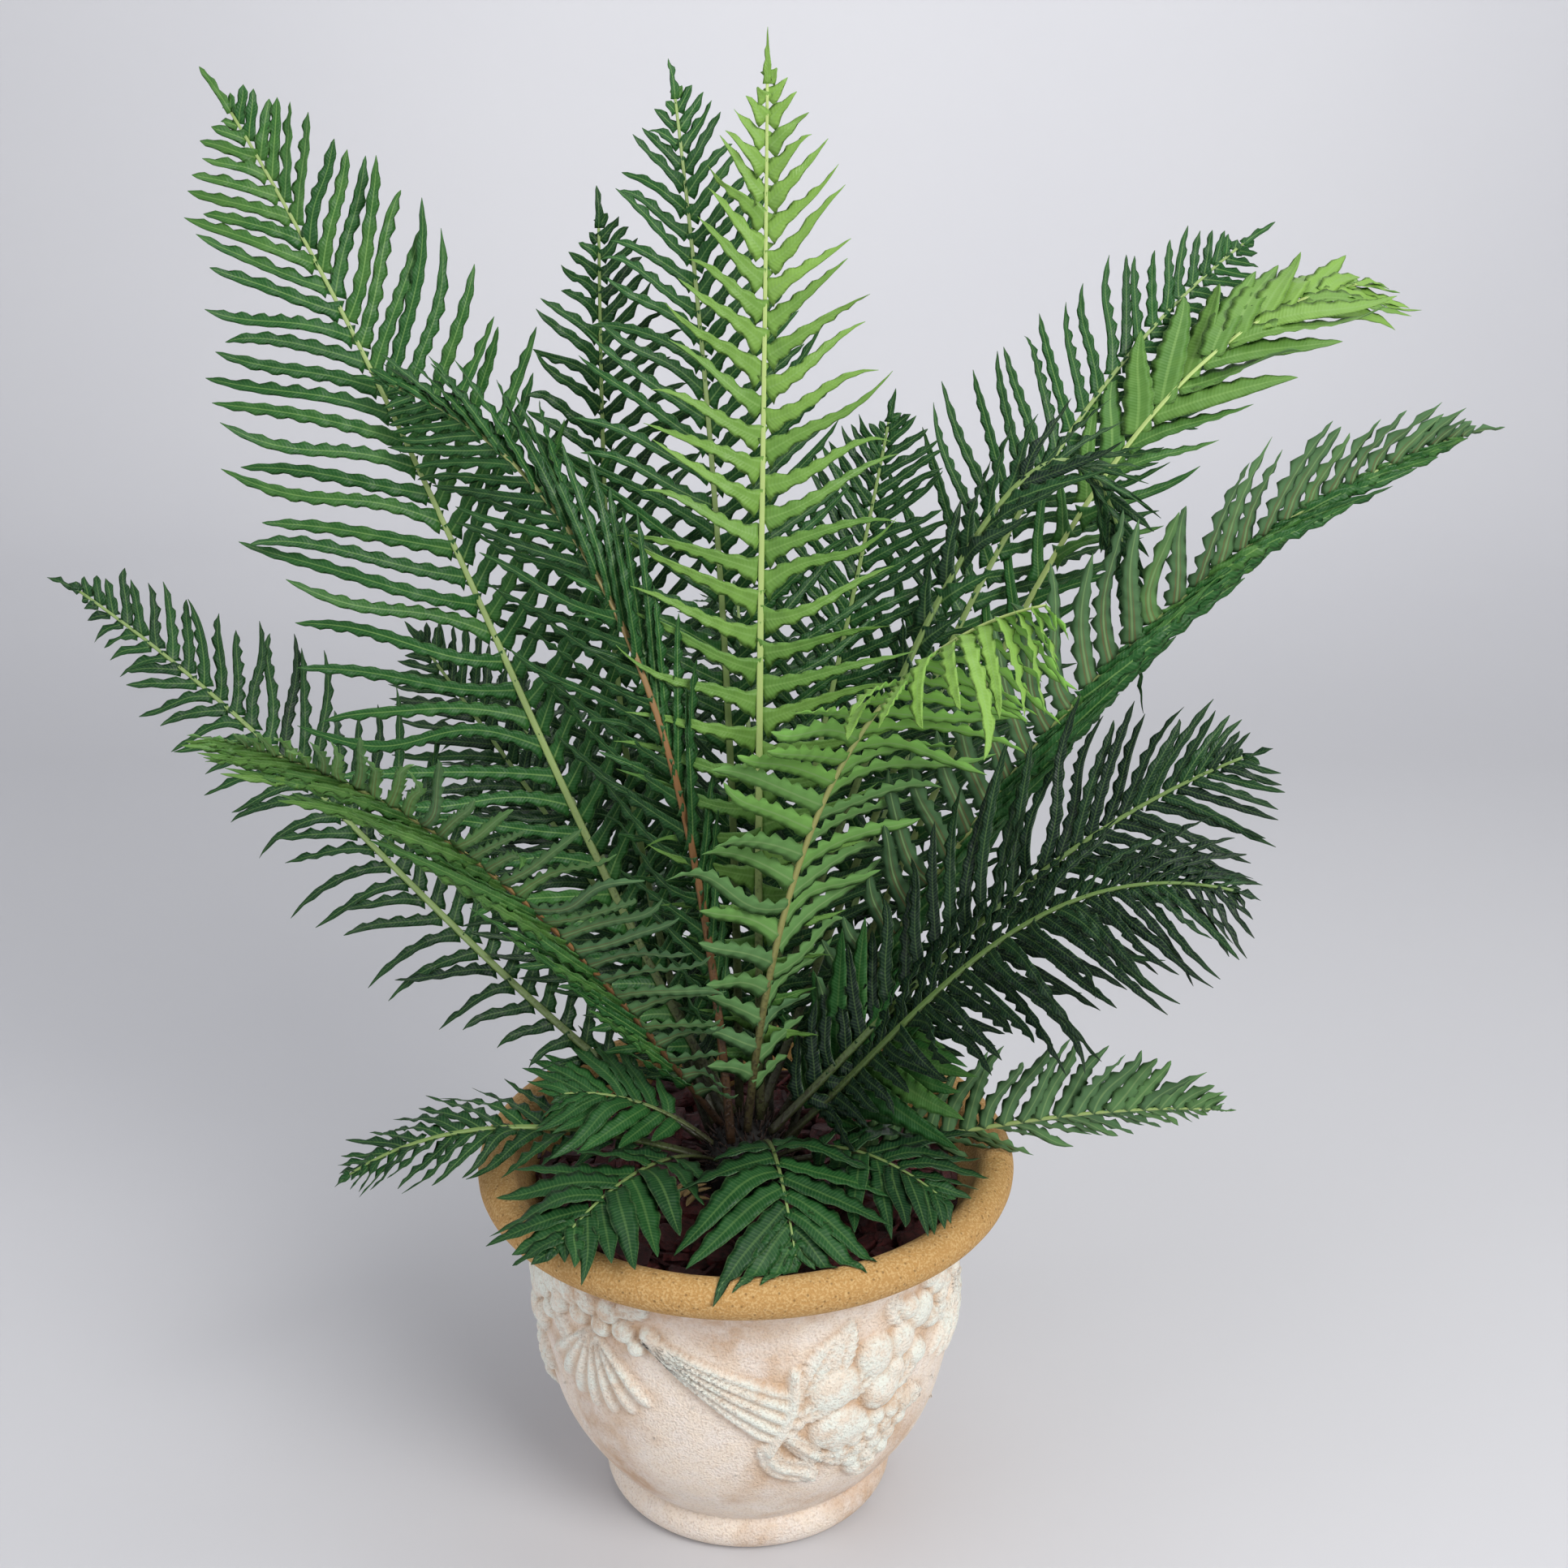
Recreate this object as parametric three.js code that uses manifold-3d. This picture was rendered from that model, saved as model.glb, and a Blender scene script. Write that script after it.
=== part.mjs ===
// A potted ribbed-leaf fern: a cast planter with a rolled rim, potting mix, bark mulch, the
// scaly crown of the plant and its fronds. Millimetres, +Z up. The origin is the centre of the
// planter's flat underside. Azimuths are degrees from +X towards +Y, and -Y is the front.
import * as THREE from "three";
import { mergeVertices } from "three/addons/utils/BufferGeometryUtils.js";
import Module from "manifold-3d";

const wasm = await Module();
wasm.setup();

// Planter
const FOOT_R = 85; // radius of the flat underside
const BEAD_R = 14; // section radius of the foot ring
const BEAD_CENTRE_R = 81;
const BEAD_TOP = 25; // height of the groove over the foot ring
const RIM_BASE = 214; // height of the joint under the rolled rim
const RIM_ROLL_R = 12; // section radius of the rolled rim
const RIM_CENTRE_R = 158; // from the planter's axis to the centre of the roll
const RIM_CENTRE_Z = 236.7;
const FLOOR = 16;
const DRAIN_R = 8;
const DRAIN_CIRCLE_R = 45;
const DRAINS = 3;

// Filling
const GAP = 0.3; // between pieces that touch
const MIX_TOP = 206;
const MULCH_TOP = 222;
const MULCH_BUMP = 3;
const MULCH_R = 133; // where the bed meets the wall
const MULCH_UNDER_R = 121;
const MULCH_HOLE_R = 36; // clear round the crown
const CROWN_R = 28;
const CROWN_WAIST = 230; // height of the crown's widest ring
const CROWN_TOP = 258;
const CROWN_AT = new THREE.Vector3(0, 6, 0);
const CHIPS = 14;

// Fronds
const STEM_HALF = 3.2; // half the width of a leaf stalk at the crown
const STEM_TIP_HALF = 0.9;
const STEM_THICK = 1.6; // half thickness at the crown
const STEM_TIP_THICK = 0.6;
const LEAFLET_THICK = 0.45; // half thickness at a leaflet's tip
const CLEARANCE = 0.5; // kept round every leaflet and stalk
const SEAT_GAP = 2.8; // from the crown to the middle of a stalk's end
const SEATS = 30; // leaf bases on the crown, in a spiral
const SPIRAL_STEP = 137.5; // degrees from one leaf base to the next
const BOW = 0.36; // length of a frond curve's handles, as a share of its span
const SHORTER = [1, 0.8, 0.6, 0.45, 0.3, 0.2]; // lengths tried for a leaflet that meets another frond

// Each frond: the azimuth, reach and height of its tip, its slope at the crown and at the tip, where its
// upper face looks (azimuth, elevation), its longest leaflet, its pairs of leaflets, and the part left
// bare at the crown. left and right hold how the leaflets of each side stand, seen on the upper face
// with the tip up: degrees out from the stalk, degrees folded up from the blade, and droop. bow is the
// pull of the curve's handles, and web the half width of the undivided blade of a young broad frond.
const FROND_LIST = [
  { name: "left_tall", heading: 160, reach: 336, height: 893, rise: 58, ends: 56, face: [285, 15],
    leaf: 150, pairs: 36, bare: 0.1, left: [62, 6, 0.12], right: [50, 12, 0.02] },
  { name: "centre_young", heading: 76, reach: 62, height: 914, rise: 93, ends: 88, face: [272, 10],
    leaf: 84, pairs: 38, bare: 0.1, left: [64, 12, 0.04], right: [64, 12, 0.04] },
  { name: "right_front", heading: 330, reach: 208, height: 630, rise: 84, ends: 12, face: [122, 40],
    leaf: 112, pairs: 30, bare: 0.16, left: [42, 14, 0.25], right: [72, 26, 0.25] },
  { name: "front_left", heading: 202, reach: 318, height: 562, rise: 58, ends: 20, face: [62, 35],
    leaf: 128, pairs: 32, bare: 0.1, left: [60, 50, 0], right: [15, 14, 0] },
  { name: "low_left", heading: 170, reach: 436, height: 600, rise: 34, ends: 32, face: [290, 50],
    leaf: 106, pairs: 34, bare: 0.14, left: [54, -22, 0.35], right: [60, 6, 0.04] },
  { name: "right_tall", heading: 36, reach: 430, height: 788, rise: 64, ends: 22, face: [252, 30],
    leaf: 128, pairs: 36, bare: 0.12, left: [52, 14, 0], right: [44, -46, 0.16] },
  { name: "right_mid", heading: 8, reach: 456, height: 692, rise: 60, ends: 14, face: [95, 38],
    leaf: 112, pairs: 32, bare: 0.16, left: [17, 10, 0.02], right: [66, 26, 0] },
  { name: "right_low", heading: 352, reach: 308, height: 527, rise: 50, ends: 24, face: [250, 48],
    leaf: 124, pairs: 28, bare: 0.1, left: [52, 14, 0], right: [48, -14, 0.3] },
  { name: "back_centre", heading: 108, reach: 142, height: 900, rise: 90, ends: 66, face: [284, 12],
    leaf: 96, pairs: 34, bare: 0.14, left: [58, 6, 0.06], right: [52, 8, 0.04] },
  { name: "back_left", heading: 130, reach: 132, height: 828, rise: 58, ends: 92, face: [292, 14],
    leaf: 92, pairs: 32, bare: 0.14, left: [58, 6, 0.06], right: [54, 8, 0.04] },
  { name: "arched_left", heading: 166, reach: 236, height: 722, rise: 86, ends: 10, face: [285, 35],
    leaf: 124, pairs: 28, bare: 0.2, left: [48, -52, 0.06], right: [15, 10, 0] },
  { name: "right_bright", heading: 28, reach: 478, height: 752, rise: 58, ends: -4, face: [240, 55],
    leaf: 84, pairs: 24, bare: 0.24, left: [44, 6, 0.08], right: [44, 6, 0.2] },
  { name: "rim_left", heading: 196, reach: 258, height: 254, rise: 26, ends: -34, face: [250, 80],
    leaf: 66, pairs: 16, bare: 0.2, left: [48, 4, 0.1], right: [52, 4, 0.1] },
  { name: "rim_right", heading: 347, reach: 302, height: 304, rise: 16, ends: 4, face: [88, 52],
    leaf: 80, pairs: 22, bare: 0.16, left: [54, -10, 0.1], right: [64, 12, 0] },
  { name: "right_under", heading: 332, reach: 318, height: 478, rise: 48, ends: -8, face: [245, 66],
    leaf: 122, pairs: 28, bare: 0.12, left: [54, 4, 0.16], right: [52, 2, 0.2] },
  { name: "rosette_left", heading: 236, reach: 196, height: 262, rise: 38, ends: -24, face: [250, 78],
    leaf: 66, pairs: 9, bare: 0.3, web: 11, left: [50, 4, 0.1], right: [50, 4, 0.1] },
  { name: "rosette_front", heading: 282, reach: 152, height: 248, rise: 52, ends: -44, face: [280, 72],
    leaf: 82, pairs: 9, bare: 0.28, web: 12, left: [52, 4, 0.1], right: [52, 4, 0.1] },
  { name: "rosette_west", heading: 190, reach: 122, height: 288, rise: 46, ends: -4, face: [260, 72],
    leaf: 60, pairs: 9, bare: 0.28, web: 10, left: [46, 4, 0.1], right: [46, 4, 0.1] },
  { name: "rosette_east", heading: 318, reach: 164, height: 264, rise: 40, ends: -22, face: [290, 75],
    leaf: 60, pairs: 9, bare: 0.3, web: 10, left: [46, 4, 0.1], right: [46, 4, 0.1] },
  { name: "rosette_upright", heading: 342, reach: 112, height: 338, rise: 62, ends: 26, face: [262, 50],
    leaf: 72, pairs: 8, bare: 0.28, web: 11, left: [44, 4, 0.06], right: [44, 4, 0.06] },
  { name: "inner_left", heading: 148, reach: 262, height: 548, rise: 62, ends: 46, face: [290, 30],
    leaf: 104, pairs: 28, bare: 0.12, left: [58, 8, 0.1], right: [54, 8, 0.1] },
  { name: "inner_right", heading: 52, reach: 150, height: 704, rise: 82, ends: 74, face: [262, 18],
    leaf: 112, pairs: 32, bare: 0.14, left: [54, 8, 0.04], right: [54, 8, 0.1] },
  { name: "hanging_right", heading: 18, reach: 262, height: 507, rise: 74, ends: -84, face: [230, 40],
    leaf: 66, pairs: 20, bare: 0.4, bow: 0.95, left: [30, 4, 0], right: [30, 4, 0] },
  { name: "back_low_left", heading: 128, reach: 330, height: 470, rise: 56, ends: 4, face: [300, 62],
    leaf: 112, pairs: 28, bare: 0.14, left: [60, 8, 0.2], right: [60, 8, 0.2] },
  { name: "back_low", heading: 92, reach: 340, height: 520, rise: 64, ends: -4, face: [270, 62],
    leaf: 116, pairs: 28, bare: 0.14, left: [60, 8, 0.2], right: [60, 8, 0.2] },
  { name: "back_low_right", heading: 58, reach: 350, height: 500, rise: 60, ends: 2, face: [236, 62],
    leaf: 112, pairs: 28, bare: 0.14, left: [60, 8, 0.2], right: [60, 8, 0.2] },
  { name: "back_rim", heading: 110, reach: 258, height: 330, rise: 38, ends: -8, face: [290, 76],
    leaf: 84, pairs: 20, bare: 0.2, left: [60, 6, 0.2], right: [60, 6, 0.2] },
];

// Colours, with each finish's roughness
const FINISH = {
  planter: { color: "#d8b284", roughness: 0.95 },
  mix: { color: "#2c1c14", roughness: 1 },
  mulch: { color: "#43201c", roughness: 0.9 },
  chip: { color: "#572a22", roughness: 0.85 },
  crown: { color: "#2a1d12", roughness: 0.95 },
  leaf: { color: "#2f6b35", roughness: 0.5 },
  young: { color: "#6fae45", roughness: 0.5 },
  dry: { color: "#b39a6a", roughness: 0.8 },
};
const YOUNG_FRONDS = ["centre_young", "right_bright"];

const part = new THREE.Group();
const solids = []; // what the fronds have to stay clear of
const UP = new THREE.Vector3(0, 0, 1);

function addPiece(name, geometry, finish) {
  const material = new THREE.MeshStandardMaterial({ ...FINISH[finish], metalness: 0 });
  const mesh = new THREE.Mesh(geometry, material);
  mesh.name = name;
  part.add(mesh);
  return mesh;
}

function closed(geometry) {
  const bare = geometry.index ? geometry.toNonIndexed() : geometry.clone();
  bare.deleteAttribute("normal");
  bare.deleteAttribute("uv");
  return mergeVertices(bare, 1e-4);
}

function solidOf(geometry) {
  const bare = closed(geometry);
  return new wasm.Manifold(new wasm.Mesh({
    numProp: 3,
    vertProperties: new Float32Array(bare.attributes.position.array),
    triVerts: new Uint32Array(bare.index.array),
  }));
}

function geometryOf(solid) {
  const mesh = solid.getMesh();
  const geometry = new THREE.BufferGeometry();
  geometry.setAttribute("position", new THREE.BufferAttribute(new Float32Array(mesh.vertProperties), 3));
  geometry.setIndex([...mesh.triVerts]);
  return geometry;
}

function direction(azimuth, elevation) {
  const a = THREE.MathUtils.degToRad(azimuth);
  const e = THREE.MathUtils.degToRad(elevation);
  return new THREE.Vector3(Math.cos(a) * Math.cos(e), Math.sin(a) * Math.cos(e), Math.sin(e));
}

// A repeatable value from 0 to 1 for each whole number.
function scatter(n) {
  const x = Math.sin(n * 127.1 + 31.7) * 43758.5453;
  return x - Math.floor(x);
}

// A body turned round the upright axis from a profile of radii and heights.
function turned(profile, steps) {
  return new THREE.LatheGeometry(profile, steps).rotateX(Math.PI / 2);
}

function arc(centreR, centreZ, radius, fromDeg, toDeg, steps) {
  return Array.from({ length: steps + 1 }, (_, i) => {
    const a = THREE.MathUtils.degToRad(fromDeg + ((toDeg - fromDeg) * i) / steps);
    return new THREE.Vector2(centreR + radius * Math.cos(a), centreZ + radius * Math.sin(a));
  });
}

function smoothOutline(points, steps) {
  return new THREE.SplineCurve(points.map(([r, z]) => new THREE.Vector2(r, z))).getPoints(steps);
}

// The bell of the planter, from the groove over the foot to under the rim.
const BELL = [
  [89.5, BEAD_TOP], [103, 41], [121, 71], [130, 102],
  [134, 135], [134, 170], [136, 200], [146, 224],
];
const INNER_STEPS = 6;

function innerWall(inset) {
  const points = [[70 - inset, FLOOR], [88 - inset, 42], [107 - inset, 72], [116 - inset, 102],
    [120 - inset, 135], [120 - inset, 170], [123 - inset, 200], [140 - inset, 222]];
  return smoothOutline(points, INNER_STEPS);
}

// The planter is one casting. It is made as a foot, a wall and a rim, a hairline apart, so that
// each of its hollows stays open in collision.
function makePlanter() {
  const bead = arc(BEAD_CENTRE_R, BEAD_R, BEAD_R, -72, 50, 4);
  const roll = arc(RIM_CENTRE_R, RIM_CENTRE_Z, RIM_ROLL_R, 215 - 360, 180, 10);
  const profile = [
    new THREE.Vector2(0, 0), new THREE.Vector2(FOOT_R, 0),
    ...bead, ...smoothOutline(BELL, 8), ...roll,
    ...innerWall(0).reverse(), new THREE.Vector2(0, FLOOR),
  ];
  let planter = solidOf(turned(profile, 40));
  for (let i = 0; i < DRAINS; i += 1) {
    const azimuth = 90 + (360 * i) / DRAINS;
    const drill = new THREE.CylinderGeometry(DRAIN_R, DRAIN_R, 4 * FLOOR, 16);
    drill.rotateX(Math.PI / 2);
    const at = direction(azimuth, 0).multiplyScalar(DRAIN_CIRCLE_R);
    drill.translate(at.x, at.y, 0);
    planter = planter.subtract(solidOf(drill));
  }
  const levels = [["planter_foot", -GAP, BEAD_TOP], ["planter_wall", BEAD_TOP, RIM_BASE],
    ["planter_rim", RIM_BASE, RIM_CENTRE_Z + 2 * RIM_ROLL_R]];
  levels.forEach(([name, low, high]) => {
    const piece = planter.trimByPlane([0, 0, 1], low + GAP / 2).trimByPlane([0, 0, -1], GAP / 2 - high);
    solids.push(piece);
    addPiece(name, geometryOf(piece), "planter");
  });
}

function makePottingMix() {
  const wall = innerWall(GAP + 0.4).filter((p) => p.y < MIX_TOP - 4);
  const widest = wall[wall.length - 1];
  const profile = [
    new THREE.Vector2(0, FLOOR + GAP),
    ...wall.map((p) => new THREE.Vector2(p.x, Math.max(p.y, FLOOR + GAP))),
    new THREE.Vector2(widest.x, MIX_TOP),
    new THREE.Vector2(0, MIX_TOP),
  ];
  addPiece("potting_mix", closed(turned(profile, 24)), "mix");
}

function makeMulchBed() {
  const inner = MULCH_HOLE_R;
  const under = MIX_TOP + GAP;
  const profile = [[inner, under], [MULCH_UNDER_R, under], [MULCH_R, MULCH_TOP - 4],
    [MULCH_R - 6, MULCH_TOP], [100, MULCH_TOP], [66, MULCH_TOP + 1], [50, MULCH_TOP + 2], [inner, MULCH_TOP + 1], [inner, under]];
  const bed = closed(turned(profile.map(([r, z]) => new THREE.Vector2(r, z)), 28));
  const spots = bed.attributes.position;
  for (let i = 0; i < spots.count; i += 1) {
    const z = spots.getZ(i);
    if (z > MULCH_TOP - 2) spots.setZ(i, z + MULCH_BUMP * (scatter(i) - 0.5));
  }
  solids.push(solidOf(bed));
  addPiece("mulch_bed", bed, "mulch");
}

function makeChip(index) {
  const around = (360 * index) / CHIPS + 14 * scatter(index + 3);
  const out = 58 + 42 * ((index * 2) % 3) / 2 + 8 * scatter(index + 9);
  const chip = closed(new THREE.IcosahedronGeometry(1, 0));
  const spots = chip.attributes.position;
  for (let i = 0; i < spots.count; i += 1) {
    const size = 0.82 + 0.32 * scatter(index * 31 + i);
    spots.setXYZ(i, spots.getX(i) * size, spots.getY(i) * size, spots.getZ(i) * size);
  }
  chip.scale(13 + 5 * scatter(index + 1), 8 + 3 * scatter(index + 2), 3.2);
  chip.rotateX(0.25 * (scatter(index + 5) - 0.5));
  chip.rotateZ(Math.PI * scatter(index + 7));
  const at = direction(around, 0).multiplyScalar(out);
  chip.translate(at.x, at.y, MULCH_TOP + MULCH_BUMP + 4.6);
  solids.push(solidOf(chip));
  addPiece(`bark_chip_${index + 1}`, chip, "chip");
}

function makeCrown() {
  const dome = arc(0, 0, 1, 0, 90, 5).map((p) => new THREE.Vector2(
    Math.max(p.x, 0) * CROWN_R, CROWN_WAIST + p.y * (CROWN_TOP - CROWN_WAIST)));
  dome[dome.length - 1].x = 0;
  const bottom = MIX_TOP + GAP;
  const profile = [new THREE.Vector2(0, bottom), new THREE.Vector2(CROWN_R - 4, bottom), ...dome];
  const crown = closed(turned(profile, 20));
  crown.translate(CROWN_AT.x, CROWN_AT.y, 0);
  solids.push(solidOf(crown));
  addPiece("crown", crown, "crown");
}

// A dead scrap of frond that lies curled on the mulch.
function makeDryScrap() {
  const outline = new THREE.Shape();
  outline.moveTo(-14, 0);
  outline.quadraticCurveTo(-4, 10, 12, 6);
  outline.lineTo(16, 0);
  outline.quadraticCurveTo(2, -9, -14, 0);
  const scrap = new THREE.ExtrudeGeometry(outline, { depth: 1, bevelEnabled: false, curveSegments: 5 });
  scrap.rotateX(0.5);
  scrap.rotateZ(2.2);
  scrap.translate(-34, -46, MULCH_TOP + 14);
  solids.push(solidOf(scrap));
  addPiece("dry_leaf_scrap", closed(scrap), "dry");
}

// Directions from the crown's centre to the leaf bases, spread evenly over its dome.
const freeSeats = Array.from({ length: SEATS }, (_, i) => {
  const height = 0.97 - (0.9 * (i + 0.5)) / SEATS;
  return direction(i * SPIRAL_STEP, THREE.MathUtils.radToDeg(Math.asin(height)));
});

// Takes the free leaf base that lies nearest to the frond's own direction.
function takeSeat(f) {
  const wanted = direction(f.heading, f.rise);
  freeSeats.sort((a, b) => b.dot(wanted) - a.dot(wanted));
  return freeSeats.shift();
}

// The midline of a frond as a curve from the crown to the tip.
function frondCurve(f) {
  const seat = takeSeat(f);
  const start = new THREE.Vector3(
    CROWN_AT.x + seat.x * (CROWN_R + SEAT_GAP),
    CROWN_AT.y + seat.y * (CROWN_R + SEAT_GAP),
    CROWN_WAIST + seat.z * (CROWN_TOP - CROWN_WAIST + SEAT_GAP));
  const tip = direction(f.heading, 0).multiplyScalar(f.reach).add(CROWN_AT);
  tip.z = f.height;
  const span = start.distanceTo(tip) * (f.bow ?? BOW);
  const first = start.clone().addScaledVector(direction(f.heading, f.rise), span);
  const second = tip.clone().addScaledVector(direction(f.heading, f.ends), -span);
  return new THREE.CubicBezierCurve3(start, first, second, tip);
}

function frameAt(f, curve, t) {
  const along = curve.getTangent(t).normalize();
  const face = direction(...f.face);
  const normal = face.addScaledVector(along, -face.dot(along)).normalize();
  const side = new THREE.Vector3().crossVectors(along, normal);
  return { at: curve.getPoint(t), along, normal, side };
}

// How long a leaflet is, as a share of the longest, from the first pair (0) to the tip (1).
function leafletShare(u) {
  return (0.36 + 0.64 * THREE.MathUtils.smoothstep(u, 0, 0.4)) * (1 - u ** 2.2) ** 0.6;
}

function leafletPlaces(f) {
  const pairs = f.web ? f.pairs : Math.round(f.pairs / 2);
  return Array.from({ length: pairs }, (_, i) => {
    const v = (i + 0.5) / pairs;
    const u = 1 - (1 - v) ** 1.25;
    const half = (0.3 * (1 - f.bare) * 1.25 * (1 - v) ** 0.25) / pairs;
    return { u, t: f.bare + (0.985 - f.bare) * u, half };
  });
}

// Where a leaflet's tip lies: swept forward along the stalk, folded up from the blade and drooping.
function leafletTip(f, frame, u, sign, share) {
  const [out0, folded, droop] = sign < 0 ? f.left : f.right;
  const spread = THREE.MathUtils.degToRad(out0 * (1.08 - 0.36 * u * u));
  const fold = THREE.MathUtils.degToRad(folded);
  const out = new THREE.Vector3()
    .addScaledVector(frame.along, Math.cos(spread))
    .addScaledVector(frame.side, Math.sin(spread) * Math.cos(fold) * sign)
    .addScaledVector(frame.normal, Math.sin(spread) * Math.sin(fold))
    .addScaledVector(UP, -droop * (0.4 + 0.6 * u))
    .normalize();
  const tip = frame.at.clone().addScaledVector(out, f.leaf * leafletShare(u) * share);
  const normal = frame.normal.clone().multiplyScalar(Math.cos(fold))
    .addScaledVector(frame.side, -Math.sin(fold) * sign);
  return { tip, normal };
}

function stalkSize(f, t) {
  const web = f.web ? f.web * Math.max(0, Math.sin(Math.PI * Math.min(1, (t - f.bare + 0.1) * 1.1))) : 0;
  return {
    half: Math.max(THREE.MathUtils.lerp(STEM_HALF, STEM_TIP_HALF, t), web),
    thick: THREE.MathUtils.lerp(STEM_THICK, STEM_TIP_THICK, t),
  };
}

// The four corners of the stalk at t: left and right on the upper face, then on the under face.
function stalkCorners(f, curve, t, extra) {
  const frame = frameAt(f, curve, t);
  const { half, thick } = stalkSize(f, t);
  return [[-1, 1], [1, 1], [-1, -1], [1, -1]].map(([x, y]) => frame.at.clone()
    .addScaledVector(frame.side, x * (half + extra))
    .addScaledVector(frame.normal, y * (thick + extra)));
}

function geometryFrom(points, faces) {
  const geometry = new THREE.BufferGeometry();
  geometry.setAttribute("position", new THREE.Float32BufferAttribute(points.flatMap((p) => p.toArray()), 3));
  geometry.setIndex(faces.flat());
  return geometry;
}

// A frond as one closed body: the stalk as a strip, and a pointed finger for each leaflet. shares holds
// the length of each leaflet, left then right, as a share of its full length; 0 leaves it out.
function frondGeometry(f, curve, shares, extra) {
  const places = leafletPlaces(f);
  const stations = [0, f.bare * 0.5];
  places.forEach((p) => stations.push(p.t - p.half, p.t + p.half));
  stations.push(1);
  const points = [];
  const faces = [];
  stations.forEach((t) => points.push(...stalkCorners(f, curve, t, extra)));
  const quad = (a, b, c, d) => faces.push([a, b, c], [a, c, d]);
  quad(0, 2, 3, 1);
  const last = 4 * (stations.length - 1);
  quad(last, last + 1, last + 3, last + 2);
  for (let k = 0; k + 1 < stations.length; k += 1) {
    const a = 4 * k;
    const b = a + 4;
    quad(a, a + 1, b + 1, b);
    quad(a + 3, a + 2, b + 2, b + 3);
    const index = k >= 2 && k % 2 === 0 ? (k - 2) / 2 : -1;
    [-1, 1].forEach((sign) => {
      const share = index >= 0 && index < places.length ? shares[2 * index + (sign < 0 ? 0 : 1)] : 0;
      // edge corners: upper and under at this station and the next
      const [pt, pb, qt, qb] = sign < 0 ? [a, a + 2, b, b + 2] : [b + 1, b + 3, a + 1, a + 3];
      if (!share) {
        quad(pt, qt, qb, pb);
        return;
      }
      const { u, t } = places[index];
      const { tip, normal } = leafletTip(f, frameAt(f, curve, t), u, sign, share);
      const over = points.push(tip.clone().addScaledVector(normal, LEAFLET_THICK)) - 1;
      const under = points.push(tip.clone().addScaledVector(normal, -LEAFLET_THICK)) - 1;
      faces.push([pt, qt, over], [qb, pb, under]);
      quad(pt, over, under, pb);
      quad(qt, qb, under, over);
    });
  }
  return geometryFrom(points, faces);
}

// One leaflet alone with room round it, to test what it meets.
function leafletProbe(f, curve, place, sign, share) {
  const corners = [place.t - place.half, place.t + place.half]
    .map((t) => stalkCorners(f, curve, t, CLEARANCE))
    .map((c) => (sign < 0 ? [c[0], c[2]] : [c[1], c[3]]));
  const frame = frameAt(f, curve, place.t);
  const { tip, normal } = leafletTip(f, frame, place.u, sign, share);
  const points = [...corners[0], ...corners[1],
    ...[1, -1].map((y) => tip.clone().addScaledVector(normal, y * (LEAFLET_THICK + CLEARANCE)))];
  // 0, 1: first edge over and under; 2, 3: second edge; 4, 5: tip
  const faces = [[0, 2, 4], [3, 1, 5], [0, 1, 3], [0, 3, 2], [0, 4, 5], [0, 5, 1], [2, 3, 5], [2, 5, 4]];
  const outward = sign < 0 ? faces : faces.map(([a, b, c]) => [a, c, b]);
  return solidOf(geometryFrom(points, outward));
}

function boxesMeet(a, b) {
  return [0, 1, 2].every((i) => a.min[i] <= b.max[i] && b.min[i] <= a.max[i]);
}

function meets(probe, others) {
  const box = probe.boundingBox();
  return others.some((o) => boxesMeet(box, o.box) && !probe.intersect(o.solid).isEmpty());
}

function makeFronds() {
  const held = solids.map((solid) => ({ solid, box: solid.boundingBox() }));
  const plans = FROND_LIST.map((f) => {
    const curve = frondCurve(f);
    const none = new Array(2 * leafletPlaces(f).length).fill(0);
    const solid = solidOf(frondGeometry(f, curve, none, CLEARANCE));
    return { f, curve, stalk: { solid, box: solid.boundingBox() } };
  });
  plans.forEach(({ f, curve, stalk }) => {
    const others = [...held, ...plans.map((p) => p.stalk).filter((s) => s !== stalk)];
    const shares = leafletPlaces(f).flatMap((place) => [-1, 1].map((sign) => SHORTER.find(
      (share) => !meets(leafletProbe(f, curve, place, sign, share), others)) ?? 0));
    const geometry = frondGeometry(f, curve, shares, 0);
    const solid = solidOf(geometry);
    held.push({ solid, box: solid.boundingBox() });
    addPiece(`frond_${f.name}`, geometry, YOUNG_FRONDS.includes(f.name) ? "young" : "leaf");
  });
}

makePlanter();
makePottingMix();
makeMulchBed();
makeCrown();
for (let i = 0; i < CHIPS; i += 1) makeChip(i);
makeDryScrap();
makeFronds();

export default part;
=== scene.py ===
"""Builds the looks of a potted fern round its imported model: the fronds, the cast planter with its
garland relief, the bark mulch and the crown, on a plain studio floor. Lengths in the frond list and in
the constants ending in _MM are millimetres; Blender's own units are metres."""

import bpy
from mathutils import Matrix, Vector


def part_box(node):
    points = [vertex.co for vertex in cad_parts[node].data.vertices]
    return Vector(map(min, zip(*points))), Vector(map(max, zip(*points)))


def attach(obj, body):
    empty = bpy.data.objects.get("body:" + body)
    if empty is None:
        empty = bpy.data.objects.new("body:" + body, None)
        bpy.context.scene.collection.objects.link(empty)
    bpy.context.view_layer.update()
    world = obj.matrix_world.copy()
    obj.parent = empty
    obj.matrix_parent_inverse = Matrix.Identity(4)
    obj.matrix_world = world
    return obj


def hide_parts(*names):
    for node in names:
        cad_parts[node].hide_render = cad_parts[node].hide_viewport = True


bl_info = {
    "name": "Potted fern",
    "version": (1, 0, 0),
    "blender": (4, 5, 0),
    "location": "3D View > Sidebar > Potted fern",
    "description": "Fern fronds, cast planter, bark mulch and a plain studio, built round a packed model",
    "category": "Add Mesh",
}

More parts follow.
